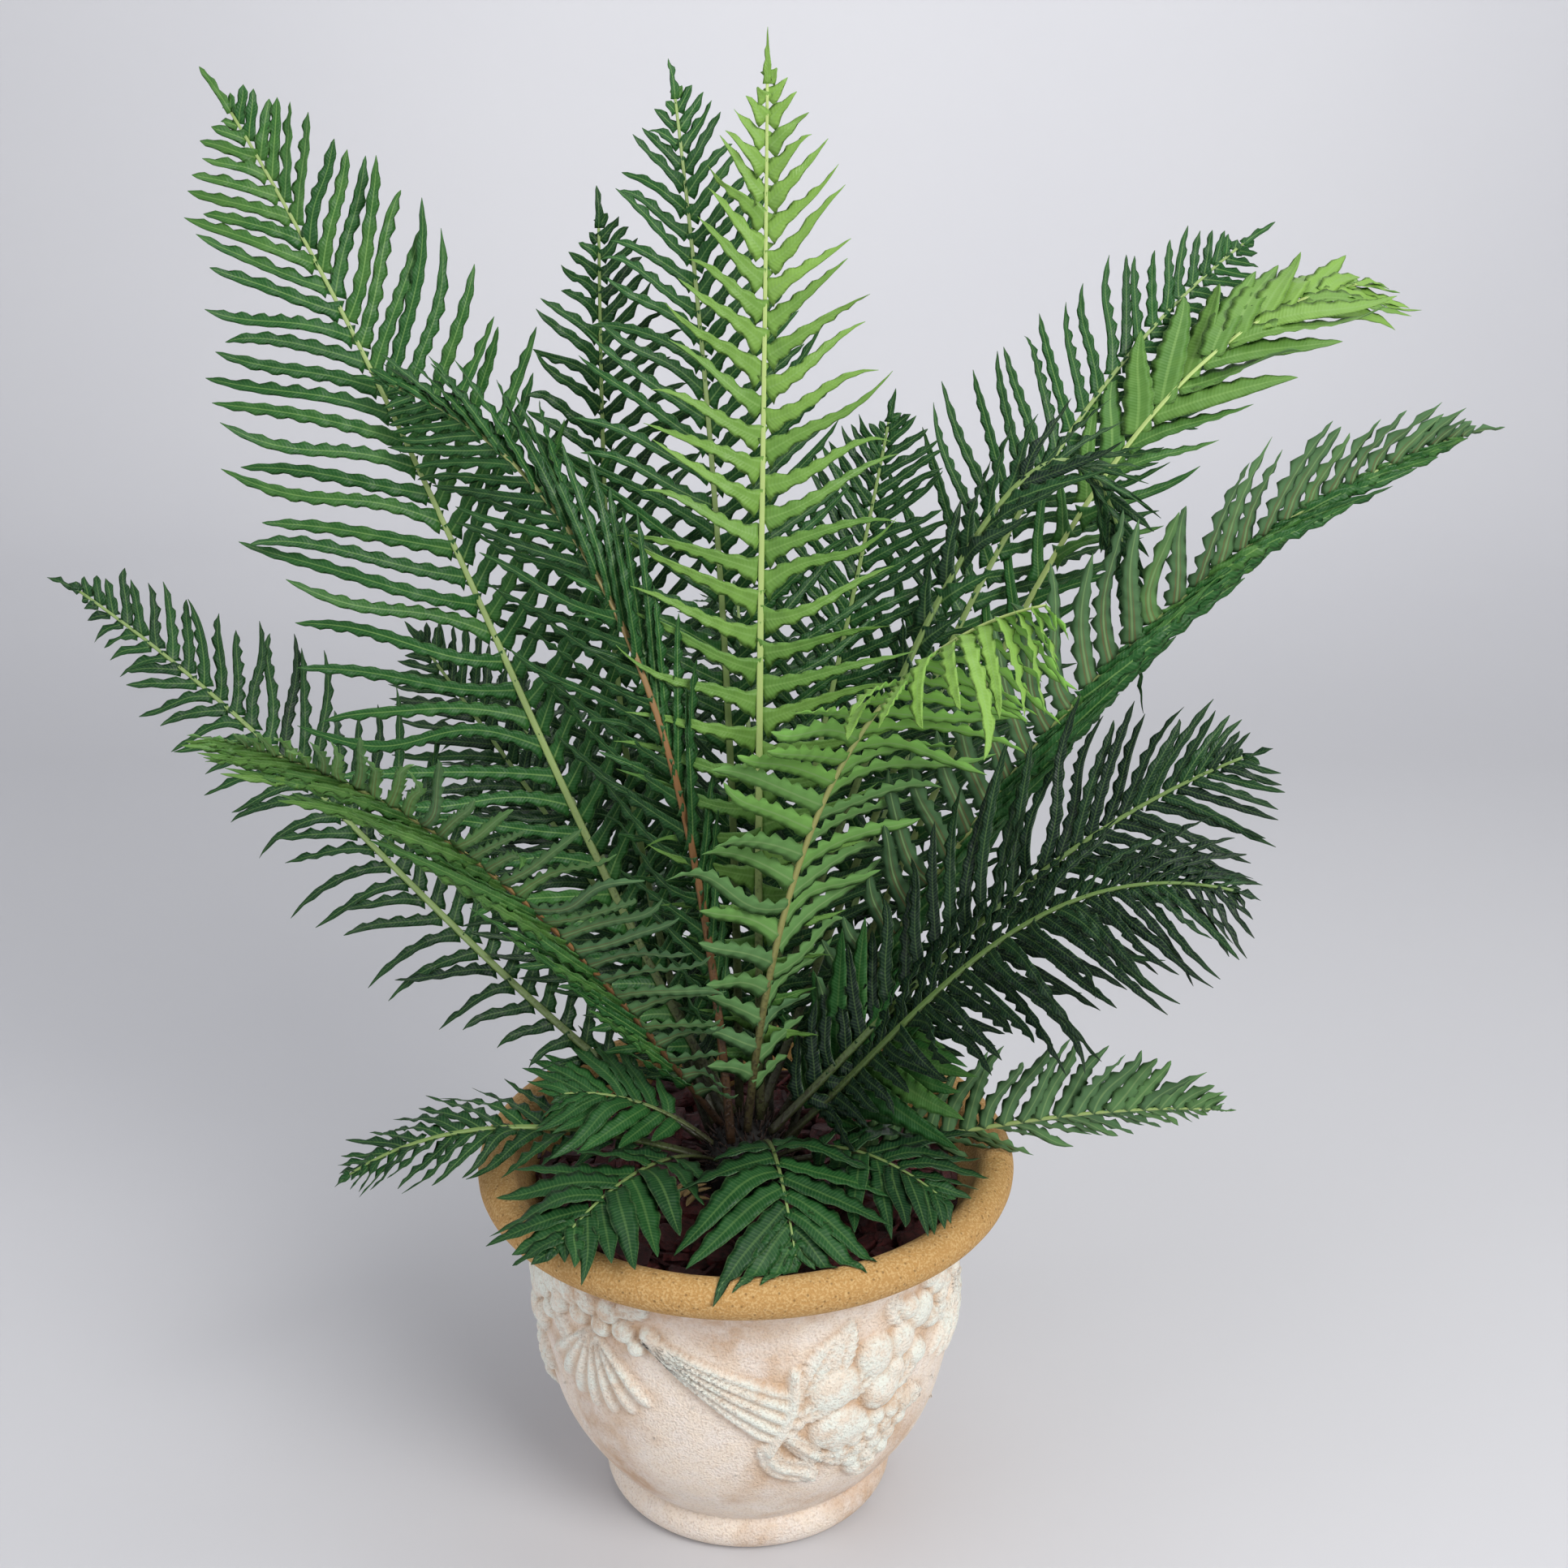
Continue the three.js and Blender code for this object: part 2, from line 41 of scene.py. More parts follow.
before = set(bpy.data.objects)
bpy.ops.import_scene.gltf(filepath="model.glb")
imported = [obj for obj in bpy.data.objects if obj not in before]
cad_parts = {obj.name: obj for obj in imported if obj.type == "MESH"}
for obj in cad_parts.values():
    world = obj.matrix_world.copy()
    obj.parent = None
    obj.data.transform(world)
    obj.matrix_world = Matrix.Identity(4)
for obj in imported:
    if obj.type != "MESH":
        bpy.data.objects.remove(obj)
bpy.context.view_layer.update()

import functools
import math

import bpy
import numpy as np
from mathutils import Vector
from mathutils.geometry import delaunay_2d_cdt

MM = 0.001
BODY = "root"
UP = np.array([0.0, 0.0, 1.0])

# Planter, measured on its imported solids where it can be
RIM_LOW, RIM_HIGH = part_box("planter_rim")
RIM_R_MM = RIM_HIGH.x / MM  # the rim at its widest
RIM_TOP_MM = RIM_HIGH.z / MM
ROLL_R_MM = 12.0  # section radius of the rolled rim
ROLL_AT_MM = RIM_R_MM - ROLL_R_MM
BED_TOP_MM = 226.0  # nothing of a frond lies lower inside the rim
FLOOR_MM = 16.0
DRAIN_R_MM = 8.0
DRAIN_CIRCLE_MM = 45.0
DRAINS = 3
RELIEF_R_MM = 131.0  # radius at which lengths round the garland are measured
RELIEF_REPEATS = 3
RELIEF_START_DEG = 227.0  # azimuth of one shell of the garland

# Crown
CROWN_LOW, CROWN_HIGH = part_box("crown")
CROWN_R_MM = (CROWN_HIGH.x - CROWN_LOW.x) / 2 / MM
CROWN_Y_MM = (CROWN_HIGH.y + CROWN_LOW.y) / 2 / MM
CROWN_WAIST_MM = 230.0
CROWN_TOP_MM = CROWN_HIGH.z / MM
SEAT_GAP_MM = 2.8
SEATS = 30
SPIRAL_STEP_DEG = 137.5

# Fronds. Lengths are mm and angles degrees; what is a share is from 0 to 1.
#   heading, reach, height   the tip: its azimuth, its distance from the crown and its height
#   rise, ends, bow          slope at the crown and at the tip, and how far the stalk bows between them
#   face                     where the upper side looks (azimuth, elevation)
#   leaf, pairs, bare        longest leaflet, pairs of leaflets, share of the stalk that is bare
#   left, right              how each side's leaflets stand: out from the stalk, folded up from the
#                            blade, droop. A fourth number, -1 or 1, makes the side a bundle: its
#                            leaflets lie beside the stalk like shingles, faces to the front, on that side
#    tone, late               from a dark frond (0) to a young bright one (1), at the crown and at
#                             the tip, and how late along the frond it changes. Dark is partly old age and
#                             partly painted shade: the low tones of the fronds deep in the plant stand
#                             in for the shade there
#   swell, fall, closing     where leaflets reach full length, how they shorten to the tip (power,
#                            bluntness), how much they close towards the stalk there
#   shares, uneven           lengths of the left and right leaflets, and how uneven they are
#   blade, form              width of a leaflet, or its whole form (see leaf_form)
#   curl, sweep, limp        how leaflets curl down (left, right), sweep forward and hang at the tip
#   waved, toothed           depth of the edge's waves up and down, and in and out
#   lobed, fused_from        leaflets joined at their sides for this share of their length, from here on
#   sori, brown              how far the brown spore lines beneath have come, and how brown the stalk is
BOW = 0.36  # of an ordinary frond
FRONT = np.array([0.0, -0.87, 0.5])  # where the upper faces of a bundle look
SHINGLE_DEG = 28.0  # roll of each leaflet of a bundle over the next
TIP_AT = 0.955  # where the last leaflet starts, which carries on to the tip
STATION_GAP_MM = 3.1  # between a leaflet's cross sections
# The short fronds round the crown have broad leaflets, joined for almost half their length
ROSETTE = dict(rosette=True, lobed=0.42, waved=0.6, toothed=0.07)
FRONDS = [
    dict(name="left_tall", heading=160, reach=336, height=893, rise=58, ends=56, face=(285, 15),
         leaf=150, pairs=36, bare=0.1, left=(55, 6, 0.05), right=(50, 12, 0.02), tone=(0.36, 0.5),
         sweep=0.1, curl=(0.9, 0.5), form=dict(width=8.6, narrowing=9.0, lean=0.16, join=5.0)),
    dict(name="centre_young", heading=76, reach=62, height=914, rise=93, ends=88, face=(272, 10),
         leaf=94, pairs=31, bare=0.1, left=(74, 8, 0.0), right=(74, 8, 0.0), closing=0.56, tone=(0.6, 1.0),
         fall=(3.0, 0.62), form=dict(width=9.6, narrowing=1.8, lean=0.3, join=6.5), curl=(0.9, 0.9),
         sweep=0.16, waved=0.7),
    dict(name="right_front", heading=330, reach=208, height=630, rise=84, ends=12, face=(122, 40),
         leaf=108, pairs=26, bare=0.1, left=(46, 10, 0.1), right=(58, 14, 0.05), tone=(0.56, 1.2),
         late=1.5, fall=(5.0, 0.5), brown=0.5, curl=(1.2, 1.2), limp=1.2, blade=12.0, uneven=0.25),
    dict(name="front_left", heading=202, reach=318, height=562, rise=58, ends=20, face=(62, 35),
         leaf=128, pairs=32, bare=0.1, left=(80, 2, 0), right=(13, 0, 0, -1), tone=(0.44, 0.68), sori=0.5,
         brown=1.0),
    dict(name="low_left", heading=170, reach=436, height=600, rise=34, ends=32, face=(290, 50),
         leaf=106, pairs=34, bare=0.14, left=(44, -4, 0.06), right=(58, 6, 0.02), tone=(0.12, 0.2),
         curl=(2.8, 0.6), waved=1.3, shares=(0.66, 1.08), uneven=0.1),
    dict(name="right_tall", heading=36, reach=430, height=788, rise=64, ends=22, face=(252, 30),
         leaf=128, pairs=36, bare=0.12, left=(52, 14, 0), right=(44, -46, 0.16), tone=(0.2, 0.34)),
    dict(name="right_mid", heading=8, reach=456, height=692, rise=60, ends=14, face=(95, 38),
         leaf=112, pairs=32, bare=0.16, left=(9, 0, 0, -1), right=(62, 12, 0), tone=(0.3, 0.5),
         sori=0.5, brown=0.2, blade=13.0, waved=1.2, uneven=0.15, sweep=0.3),
    dict(name="right_low", heading=352, reach=308, height=527, rise=50, ends=24, face=(250, 48),
         leaf=130, pairs=30, bare=0.1, left=(48, 14, 0), right=(44, -10, 0.14), tone=(-0.1, 0.06),
         curl=(0.6, 1.4), blade=12.5, sori=0.8, swell=0.7, waved=0.8),
    dict(name="back_centre", heading=108, reach=142, height=900, rise=90, ends=66, face=(284, 12),
         leaf=124, pairs=34, bare=0.14, left=(54, 6, 0.04), right=(50, 8, 0.04), tone=(0.2, 0.42),
         curl=(1.3, 0.8)),
    dict(name="back_left", heading=130, reach=132, height=828, rise=58, ends=92, face=(292, 14),
         leaf=112, pairs=32, bare=0.14, left=(56, 6, 0.04), right=(52, 8, 0.04), tone=(0.1, 0.22),
         curl=(1.5, 0.9)),
    dict(name="arched_left", heading=166, reach=236, height=722, rise=86, ends=10, face=(285, 35),
         leaf=124, pairs=28, bare=0.2, left=(48, -52, 0.06), right=(13, 0, 0, 1), tone=(0.26, 0.36),
         sori=0.5, brown=1.0),
    dict(name="right_bright", heading=28, reach=478, height=752, rise=58, ends=-4, face=(240, 55),
         leaf=96, pairs=22, bare=0.24, left=(36, 6, 0.04), right=(38, 6, 0.14), tone=(0.26, 1.15),
         late=2.0, swell=0.85, lobed=0.3, waved=0.5, toothed=0.07, fall=(7.0, 0.5), fused_from=0.5),
    dict(name="rim_left", heading=196, reach=258, height=254, rise=26, ends=-34, face=(250, 80),
         leaf=66, pairs=16, bare=0.2, left=(48, 4, 0.1), right=(52, 4, 0.1), tone=(0.12, 0.2),
         form=dict(width=11.0, narrowing=2.4, lean=0.3, join=9.0)),
    dict(name="rim_right", heading=347, reach=302, height=304, rise=16, ends=4, face=(88, 52),
         leaf=84, pairs=22, bare=0.16, left=(54, -10, 0.1), right=(58, 42, 0), tone=(0.42, 0.56),
         shares=(0.6, 1), blade=12.0, lobed=0.25, fused_from=0.5),
    dict(name="right_under", heading=332, reach=318, height=478, rise=48, ends=-8, face=(245, 66),
         leaf=126, pairs=32, bare=0.12, left=(50, 4, 0.1), right=(48, 2, 0.14), tone=(-0.1, 0.0),
         curl=(1.6, 1.8), waved=1.1, uneven=0.1, blade=11.0, swell=0.6),
    dict(name="rosette_left", heading=236, reach=196, height=262, rise=38, ends=-24, face=(250, 78),
         leaf=74, pairs=9, bare=0.26, left=(50, 4, 0.1), right=(50, 4, 0.1), tone=(0.18, 0.24), **ROSETTE),
    dict(name="rosette_front", heading=282, reach=152, height=248, rise=52, ends=-44, face=(280, 72),
         leaf=92, pairs=8, bare=0.24, left=(52, 4, 0.1), right=(52, 4, 0.1), tone=(0.2, 0.28), **ROSETTE),
    dict(name="rosette_west", heading=190, reach=122, height=288, rise=46, ends=-4, face=(260, 72),
         leaf=70, pairs=9, bare=0.24, left=(46, 4, 0.1), right=(46, 4, 0.1), tone=(0.3, 0.34), **ROSETTE),
    dict(name="rosette_east", heading=318, reach=164, height=264, rise=40, ends=-22, face=(290, 75),
         leaf=70, pairs=9, bare=0.26, left=(46, 4, 0.1), right=(46, 4, 0.1), tone=(0.12, 0.2), **ROSETTE),
    dict(name="rosette_upright", heading=342, reach=112, height=338, rise=62, ends=26, face=(262, 50),
         leaf=112, pairs=8, bare=0.2, left=(40, 4, 0), right=(44, 4, 0), tone=(0.42, 0.5), **ROSETTE),
    dict(name="inner_left", heading=148, reach=262, height=548, rise=62, ends=46, face=(290, 30),
         leaf=104, pairs=28, bare=0.12, left=(58, 8, 0.1), right=(54, 8, 0.1), tone=(0.06, 0.12)),
    dict(name="inner_right", heading=52, reach=150, height=704, rise=82, ends=74, face=(262, 18),
         leaf=112, pairs=32, bare=0.14, left=(54, 8, 0.04), right=(54, 8, 0.1), tone=(0.1, 0.2)),
    dict(name="hanging_right", heading=18, reach=262, height=507, rise=74, ends=-84, face=(230, 40),
         leaf=66, pairs=20, bare=0.4, bow=0.95, left=(30, 4, 0), right=(30, 4, 0), tone=(0.1, 0.16),
         form=dict(width=11.0, narrowing=2.6, lean=0.3, join=8.0)),
    dict(name="back_low_left", heading=128, reach=330, height=470, rise=56, ends=4, face=(300, 62),
         leaf=112, pairs=28, bare=0.14, left=(60, 8, 0.2), right=(60, 8, 0.2), tone=(0.06, 0.1)),
    dict(name="back_low", heading=92, reach=340, height=520, rise=64, ends=-4, face=(270, 62),
         leaf=116, pairs=28, bare=0.14, left=(60, 8, 0.2), right=(60, 8, 0.2), tone=(0.1, 0.16)),
    dict(name="back_low_right", heading=58, reach=350, height=500, rise=60, ends=2, face=(236, 62),
         leaf=112, pairs=28, bare=0.14, left=(60, 8, 0.2), right=(60, 8, 0.2), tone=(0.06, 0.1)),
    dict(name="back_rim", heading=110, reach=258, height=330, rise=38, ends=-8, face=(290, 76),
         leaf=84, pairs=20, bare=0.2, left=(60, 6, 0.2), right=(60, 6, 0.2), tone=(0.1, 0.16)),
]
YOUNG = ("centre_young", "right_bright")
CHIPS = 14

# Camera
CAMERA_AT = (0.024, -1.172, 0.937)
CAMERA_DOWN_DEG = 20.9


def linear(hex_colour):
    """An sRGB hex colour as linear red, green, blue and alpha."""
    parts = [int(hex_colour[i : i + 2], 16) / 255 for i in (1, 3, 5)]
    return tuple(c / 12.92 if c <= 0.04045 else ((c + 0.055) / 1.055) ** 2.4 for c in parts) + (1.0,)


# ---------------------------------------------------------------- settings


class FrondSettings(bpy.types.PropertyGroup):
    """What a user would change on the leaves."""

    blade_width: bpy.props.FloatProperty(
        name="Leaflet width", description="Width of an ordinary leaflet", default=7.6 * MM,
        unit="LENGTH")
    wave_pitch: bpy.props.FloatProperty(
        name="Wave pitch", description="Distance from one wave of a leaflet's edge to the next",
        default=12.5 * MM, unit="LENGTH")
    wave_depth: bpy.props.FloatProperty(
        name="Wave depth", description="How far a leaflet's edge waves up and down", default=1.8 * MM,
        unit="LENGTH")
    # painted shade: besides old fronds, this dark colour is what the fronds deep in the plant take, standing
    # in for the shade there
    old_and_shaded_colour: bpy.props.FloatVectorProperty(
        name="Old leaf", description="Upper face of an old frond", subtype="COLOR", size=4,
        default=linear("#081F17"), min=0, max=1)
    grown_colour: bpy.props.FloatVectorProperty(
        name="Grown leaf", description="Upper face of a grown frond", subtype="COLOR", size=4,
        default=linear("#2A5F2A"), min=0, max=1)
    young_colour: bpy.props.FloatVectorProperty(
        name="Young leaf", description="Upper face of a young frond", subtype="COLOR", size=4,
        default=linear("#80A84C"), min=0, max=1)


class PlanterSettings(bpy.types.PropertyGroup):
    """What a user would change on the planter."""

    relief_height: bpy.props.FloatProperty(
        name="Relief", description="Height of the garland over the body", default=7.0 * MM,
        unit="LENGTH")
    rim_colour: bpy.props.FloatVectorProperty(
        name="Rim", description="Bare sandy rim", subtype="COLOR", size=4,
        default=linear("#B88E55"), min=0, max=1)
    body_colour: bpy.props.FloatVectorProperty(
        name="Body", description="Body under its wash", subtype="COLOR", size=4,
        default=linear("#FFEEDA"), min=0, max=1)
    wash_colour: bpy.props.FloatVectorProperty(
        name="Lime wash", description="Pale wash that lies on the garland", subtype="COLOR", size=4,
        default=linear("#F6F9EE"), min=0, max=1)


class MulchSettings(bpy.types.PropertyGroup):
    """What a user would change on the mulch."""

    pieces: bpy.props.IntProperty(
        name="Bark pieces", description="Pieces of bark in the bed", default=560, min=50)
    bark_colour: bpy.props.FloatVectorProperty(
        name="Bark", description="Damp bark", subtype="COLOR", size=4, default=linear("#38161A"),
        min=0, max=1)


class StudioSettings(bpy.types.PropertyGroup):
    """What a user would change on the stage."""

    floor_colour: bpy.props.FloatVectorProperty(
        name="Floor", description="Floor and backdrop", subtype="COLOR", size=4,
        default=linear("#D3D3D6"), min=0, max=1)
    key_power: bpy.props.FloatProperty(
        name="Key light", description="Power of the large lamp at the right", default=47.0,
        unit="POWER")
    camera_lens: bpy.props.FloatProperty(
        name="Lens", description="Focal length for a 36 mm wide sensor", default=48.4,
        unit="CAMERA")


# ---------------------------------------------------------------- small tools


def direction(azimuth, elevation):
    """The unit vector at these degrees round from +X and up from level."""
    a, e = math.radians(azimuth), math.radians(elevation)
    return np.array([math.cos(a) * math.cos(e), math.sin(a) * math.cos(e), math.sin(e)])


def unit(v):
    """These vectors at length 1."""
    return v / np.linalg.norm(v, axis=-1, keepdims=True)


def smooth(low, high, value):
    """0 up to low, 1 from high on, and an even S between them."""
    x = np.clip((value - low) / (high - low), 0, 1)
    return x * x * (3 - 2 * x)


def ring_faces(rows, around):
    """Quads between rings of points, each ring closed, numbered ring after ring."""
    return [(i * around + j, i * around + (j + 1) % around, (i + 1) * around + (j + 1) % around,
             (i + 1) * around + j) for i in range(rows - 1) for j in range(around)]


def add_object(name, data):
    """A new object that holds this data, in the scene."""
    made = bpy.data.objects.new(name, data)
    bpy.context.scene.collection.objects.link(made)
    return made


def cad_box_mm(node):
    """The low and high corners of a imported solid."""
    return (np.array(corner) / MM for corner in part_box(node))


class Body:
    """Gathers the vertices and faces of one piece, with a value set at each vertex and face."""

    def __init__(self):
        self.points, self.faces, self.slots, self.blade, self.tint, self.uvs = [], [], [], [], [], []
        self.count = 0

    def add(self, points, faces, slots, blade, tint, uvs):
        """faces is a list of tuples, or an array of quads; slots has a material number for each, and
        uvs a place in the baking map for each corner of each face, in order."""
        self.points.append(points)
        self.faces.extend((np.asarray(faces) + self.count).tolist() if isinstance(faces, np.ndarray)
                          else [tuple(i + self.count for i in f) for f in faces])
        self.slots.extend(slots)
        self.blade.append(blade)
        self.tint.append(tint)
        self.uvs.append(uvs)
        self.count += len(points)

    def build(self, name, materials):
        """Makes the object, smooth shaded, with its attributes and its map for baking."""
        mesh = bpy.data.meshes.new(name)
        mesh.from_pydata((np.concatenate(self.points) * MM).tolist(), [], self.faces)
        for material in materials:
            mesh.materials.append(material)
        mesh.polygons.foreach_set("material_index", self.slots)
        mesh.polygons.foreach_set("use_smooth", [True] * len(self.faces))
        for label, values in (("blade", self.blade), ("tint", self.tint)):
            held = mesh.attributes.new(label, "FLOAT_VECTOR", "POINT")
            held.data.foreach_set("vector", np.concatenate(values).astype(np.float32).ravel())
        uv_map = mesh.uv_layers.new(name="OFBake")
        uv_map.uv.foreach_set("vector", np.concatenate(self.uvs).astype(np.float32).ravel())
        mesh.update()
        return add_object(name, mesh)


def place(piece, slot, *nodes):
    """Rides the piece on the body and lets it stand for its CAD nodes."""
    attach(piece, BODY)
    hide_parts(*nodes)
    return piece


def add_node(tree, kind, inputs=None, **settings):
    """Adds a shader node with its settings, and fills its inputs with values or with links."""
    made = tree.nodes.new("ShaderNode" + kind)
    for key, value in settings.items():
        setattr(made, key, value)
    for key, value in (inputs or {}).items():
        if isinstance(value, bpy.types.NodeSocket):
            tree.links.new(value, made.inputs[key])
        else:
            made.inputs[key].default_value = value
    return made


def new_material(name):
    """An empty node material, and the function that adds nodes to it."""
    material = bpy.data.materials.new(name)
    material.use_nodes = True
    material.node_tree.nodes.clear()
    return material, functools.partial(add_node, material.node_tree)


# ---------------------------------------------------------------- materials


def leaf_upper_material(settings):
    """Fern leaf, upper face, as grown: a waxy semi-gloss skin, dark with age and bright when young, and dark
    also as painted shade on the fronds deep in the plant, with a pale midrib and a thin pale edge, and side
    veins that make it faintly ribbed."""
    material, add = new_material("fern_leaf_upper")
    blade = add("Attribute", attribute_name="blade")
    tint = add("Attribute", attribute_name="tint")
    across = add("SeparateXYZ", {0: blade.outputs["Vector"]})
    age = add("SeparateXYZ", {0: tint.outputs["Vector"]})
    at = add("TexCoord").outputs["Object"]
    blotch = add("TexNoise", {"Vector": at, "Scale": 1 / (18 * MM), "Detail": 3.0})
    tone = add("Math", {0: blotch.outputs["Fac"], 1: 0.22, 2: age.outputs["X"]}, operation="MULTIPLY_ADD")
    # painted shade as well as age: the low tones given to the fronds deep in the plant run to the dark old
    # colour
    to_grown = add("MapRange", {"Value": tone.outputs[0], "From Min": 0.08, "From Max": 0.62})
    to_young = add("MapRange", {"Value": tone.outputs[0], "From Min": 0.55, "From Max": 1.12})
    grown = add("Mix", {
        0: to_grown.outputs[0], 6: settings.old_and_shaded_colour, 7: settings.grown_colour}, data_type="RGBA")
    flesh = add("Mix", {
        0: to_young.outputs[0], 6: grown.outputs[2], 7: settings.young_colour}, data_type="RGBA")
    side = add("Math", {0: across.outputs["X"]}, operation="ABSOLUTE")
    # the side veins slope forward from the midrib, 2.2 mm apart; z is centimetres along the leaflet
    slope = add("Math", {0: side.outputs[0], 1: -0.3, 2: across.outputs["Z"]}, operation="MULTIPLY_ADD")
    turn = add("Math", {0: slope.outputs[0], 1: math.tau * 10 / 2.2}, operation="MULTIPLY")
    vein = add("Math", {0: turn.outputs[0]}, operation="SINE")
    vein_shade = add("MapRange", {"Value": vein.outputs[0], "From Min": 0.2, "From Max": 1.0, "To Max": 0.1})
    veined = add("Mix", {
        0: vein_shade.outputs[0], 6: flesh.outputs[2], 7: linear("#7FA867")}, data_type="RGBA")
    rib = add("MapRange", {
        "Value": side.outputs[0], "From Min": 0.05, "From Max": 0.13, "To Min": 0.55, "To Max": 0.0})
    rib_here = add("Math", {0: rib.outputs[0], 1: age.outputs["Z"]}, operation="MULTIPLY")
    ribbed = add("Mix", {
        0: rib_here.outputs[0], 6: veined.outputs[2], 7: linear("#86AB60")}, data_type="RGBA")
    edge = add("MapRange", {"Value": side.outputs[0], "From Min": 0.86, "From Max": 0.97, "To Max": 0.3})
    edged = add("Mix", {0: edge.outputs[0], 6: ribbed.outputs[2], 7: linear("#7FA868")}, data_type="RGBA")
    rough = add("MapRange", {
        "Value": blotch.outputs["Fac"], "From Min": 0.3, "From Max": 0.7, "To Min": 0.36, "To Max": 0.52})
    raised = add("Bump", {"Height": vein.outputs[0], "Strength": 0.35, "Distance": 0.12 * MM})
    shader = add("BsdfPrincipled", {
        "Base Color": edged.outputs[2], "Roughness": rough.outputs[0], "Normal": raised.outputs[0],
        "IOR": 1.42, "Specular IOR Level": 0.32})
    add("OutputMaterial", {"Surface": shader.outputs[0]})
    return material


def leaf_under_material():
    """Fern leaf, under face: duller and paler than the upper, with a raised straw midrib and, on a
    fertile frond, a rust-brown line of spore cases each side of it."""
    material, add = new_material("fern_leaf_under")
    blade = add("Attribute", attribute_name="blade")
    tint = add("Attribute", attribute_name="tint")
    across = add("SeparateXYZ", {0: blade.outputs["Vector"]})
    age = add("SeparateXYZ", {0: tint.outputs["Vector"]})
    at = add("TexCoord").outputs["Object"]
    blotch = add("TexNoise", {"Vector": at, "Scale": 1 / (14 * MM), "Detail": 3.0})
    # painted shade as well as age: the low tones of the fronds deep in the plant run to the dark #0A2016
    to_grown = add("MapRange", {"Value": age.outputs["X"], "From Max": 0.5})
    to_young = add("MapRange", {"Value": age.outputs["X"], "From Min": 0.5, "From Max": 1.0})
    grown = add("Mix", {
        0: to_grown.outputs[0], 6: linear("#0A2016"), 7: linear("#587B51")}, data_type="RGBA")
    flesh = add("Mix", {0: to_young.outputs[0], 6: grown.outputs[2], 7: linear("#82B84E")}, data_type="RGBA")
    shade = add("Math", {0: blotch.outputs["Fac"], 1: 0.3}, operation="MULTIPLY")
    mottled = add("Mix", {0: shade.outputs[0], 6: flesh.outputs[2], 7: linear("#456E4B")}, data_type="RGBA")
    side = add("Math", {0: across.outputs["X"]}, operation="ABSOLUTE")
    off_line = add("Math", {0: side.outputs[0], 1: 0.24}, operation="SUBTRACT")
    line_gap = add("Math", {0: off_line.outputs[0]}, operation="ABSOLUTE")
    line = add("MapRange", {
        "Value": line_gap.outputs[0], "From Min": 0.04, "From Max": 0.1, "To Min": 0.7, "To Max": 0.0})
    fading = add("MapRange", {
        "Value": across.outputs["Y"], "From Min": 0.2, "From Max": 0.75, "To Min": 1.0, "To Max": 0.15})
    ripe = add("Math", {0: fading.outputs[0], 1: age.outputs["Y"]}, operation="MULTIPLY")
    sori = add("Math", {0: line.outputs[0], 1: ripe.outputs[0]}, operation="MULTIPLY")
    spored = add("Mix", {0: sori.outputs[0], 6: mottled.outputs[2], 7: linear("#84412C")}, data_type="RGBA")
    rib = add("MapRange", {
        "Value": side.outputs[0], "From Min": 0.05, "From Max": 0.13, "To Min": 0.6, "To Max": 0.0})
    ribbed = add("Mix", {0: rib.outputs[0], 6: spored.outputs[2], 7: linear("#84A26A")}, data_type="RGBA")
    shader = add("BsdfPrincipled", {
        "Base Color": ribbed.outputs[2], "Roughness": 0.62, "IOR": 1.4, "Specular IOR Level": 0.2})
    add("OutputMaterial", {"Surface": shader.outputs[0]})
    return material


def stalk_material():
    """Leaf stalk: green straw colour and smooth above, black-brown and set with dark scales towards
    the crown; rust brown on the arching fronds, fading to green near their tips."""
    material, add = new_material("fern_stalk")
    blade = add("Attribute", attribute_name="blade")
    tint = add("Attribute", attribute_name="tint")
    along = add("SeparateXYZ", {0: blade.outputs["Vector"]})
    age = add("SeparateXYZ", {0: tint.outputs["Vector"]})
    at = add("TexCoord").outputs["Object"]
    fleck = add("TexNoise", {"Vector": at, "Scale": 1 / (2.2 * MM), "Detail": 2.0})
    # the green follows the frond's tone, so on the fronds deep in the plant its darkness is partly painted
    # shade
    green = add("Mix", {0: age.outputs["X"], 6: linear("#6F8A4C"), 7: linear("#B9CE7E")}, data_type="RGBA")
    browned = add("Mix", {0: age.outputs["Z"], 6: green.outputs[2], 7: linear("#8C6238")}, data_type="RGBA")
    low = add("MapRange", {
        "Value": along.outputs["Y"], "From Min": 0.04, "From Max": 0.34, "To Min": 0.92, "To Max": 0.0})
    footed = add("Mix", {0: low.outputs[0], 6: browned.outputs[2], 7: linear("#1E140D")}, data_type="RGBA")
    spot = add("MapRange", {
        "Value": fleck.outputs["Fac"], "From Min": 0.52, "From Max": 0.62, "To Max": 0.8})
    scale = add("Math", {0: spot.outputs[0], 1: low.outputs[0]}, operation="MULTIPLY")
    scaled = add("Mix", {0: scale.outputs[0], 6: footed.outputs[2], 7: linear("#20150D")}, data_type="RGBA")
    raised = add("Bump", {"Height": scale.outputs[0], "Strength": 0.6, "Distance": 0.5 * MM})
    shader = add("BsdfPrincipled", {
        "Base Color": scaled.outputs[2], "Normal": raised.outputs[0], "Roughness": 0.48})
    add("OutputMaterial", {"Surface": shader.outputs[0]})
    return material


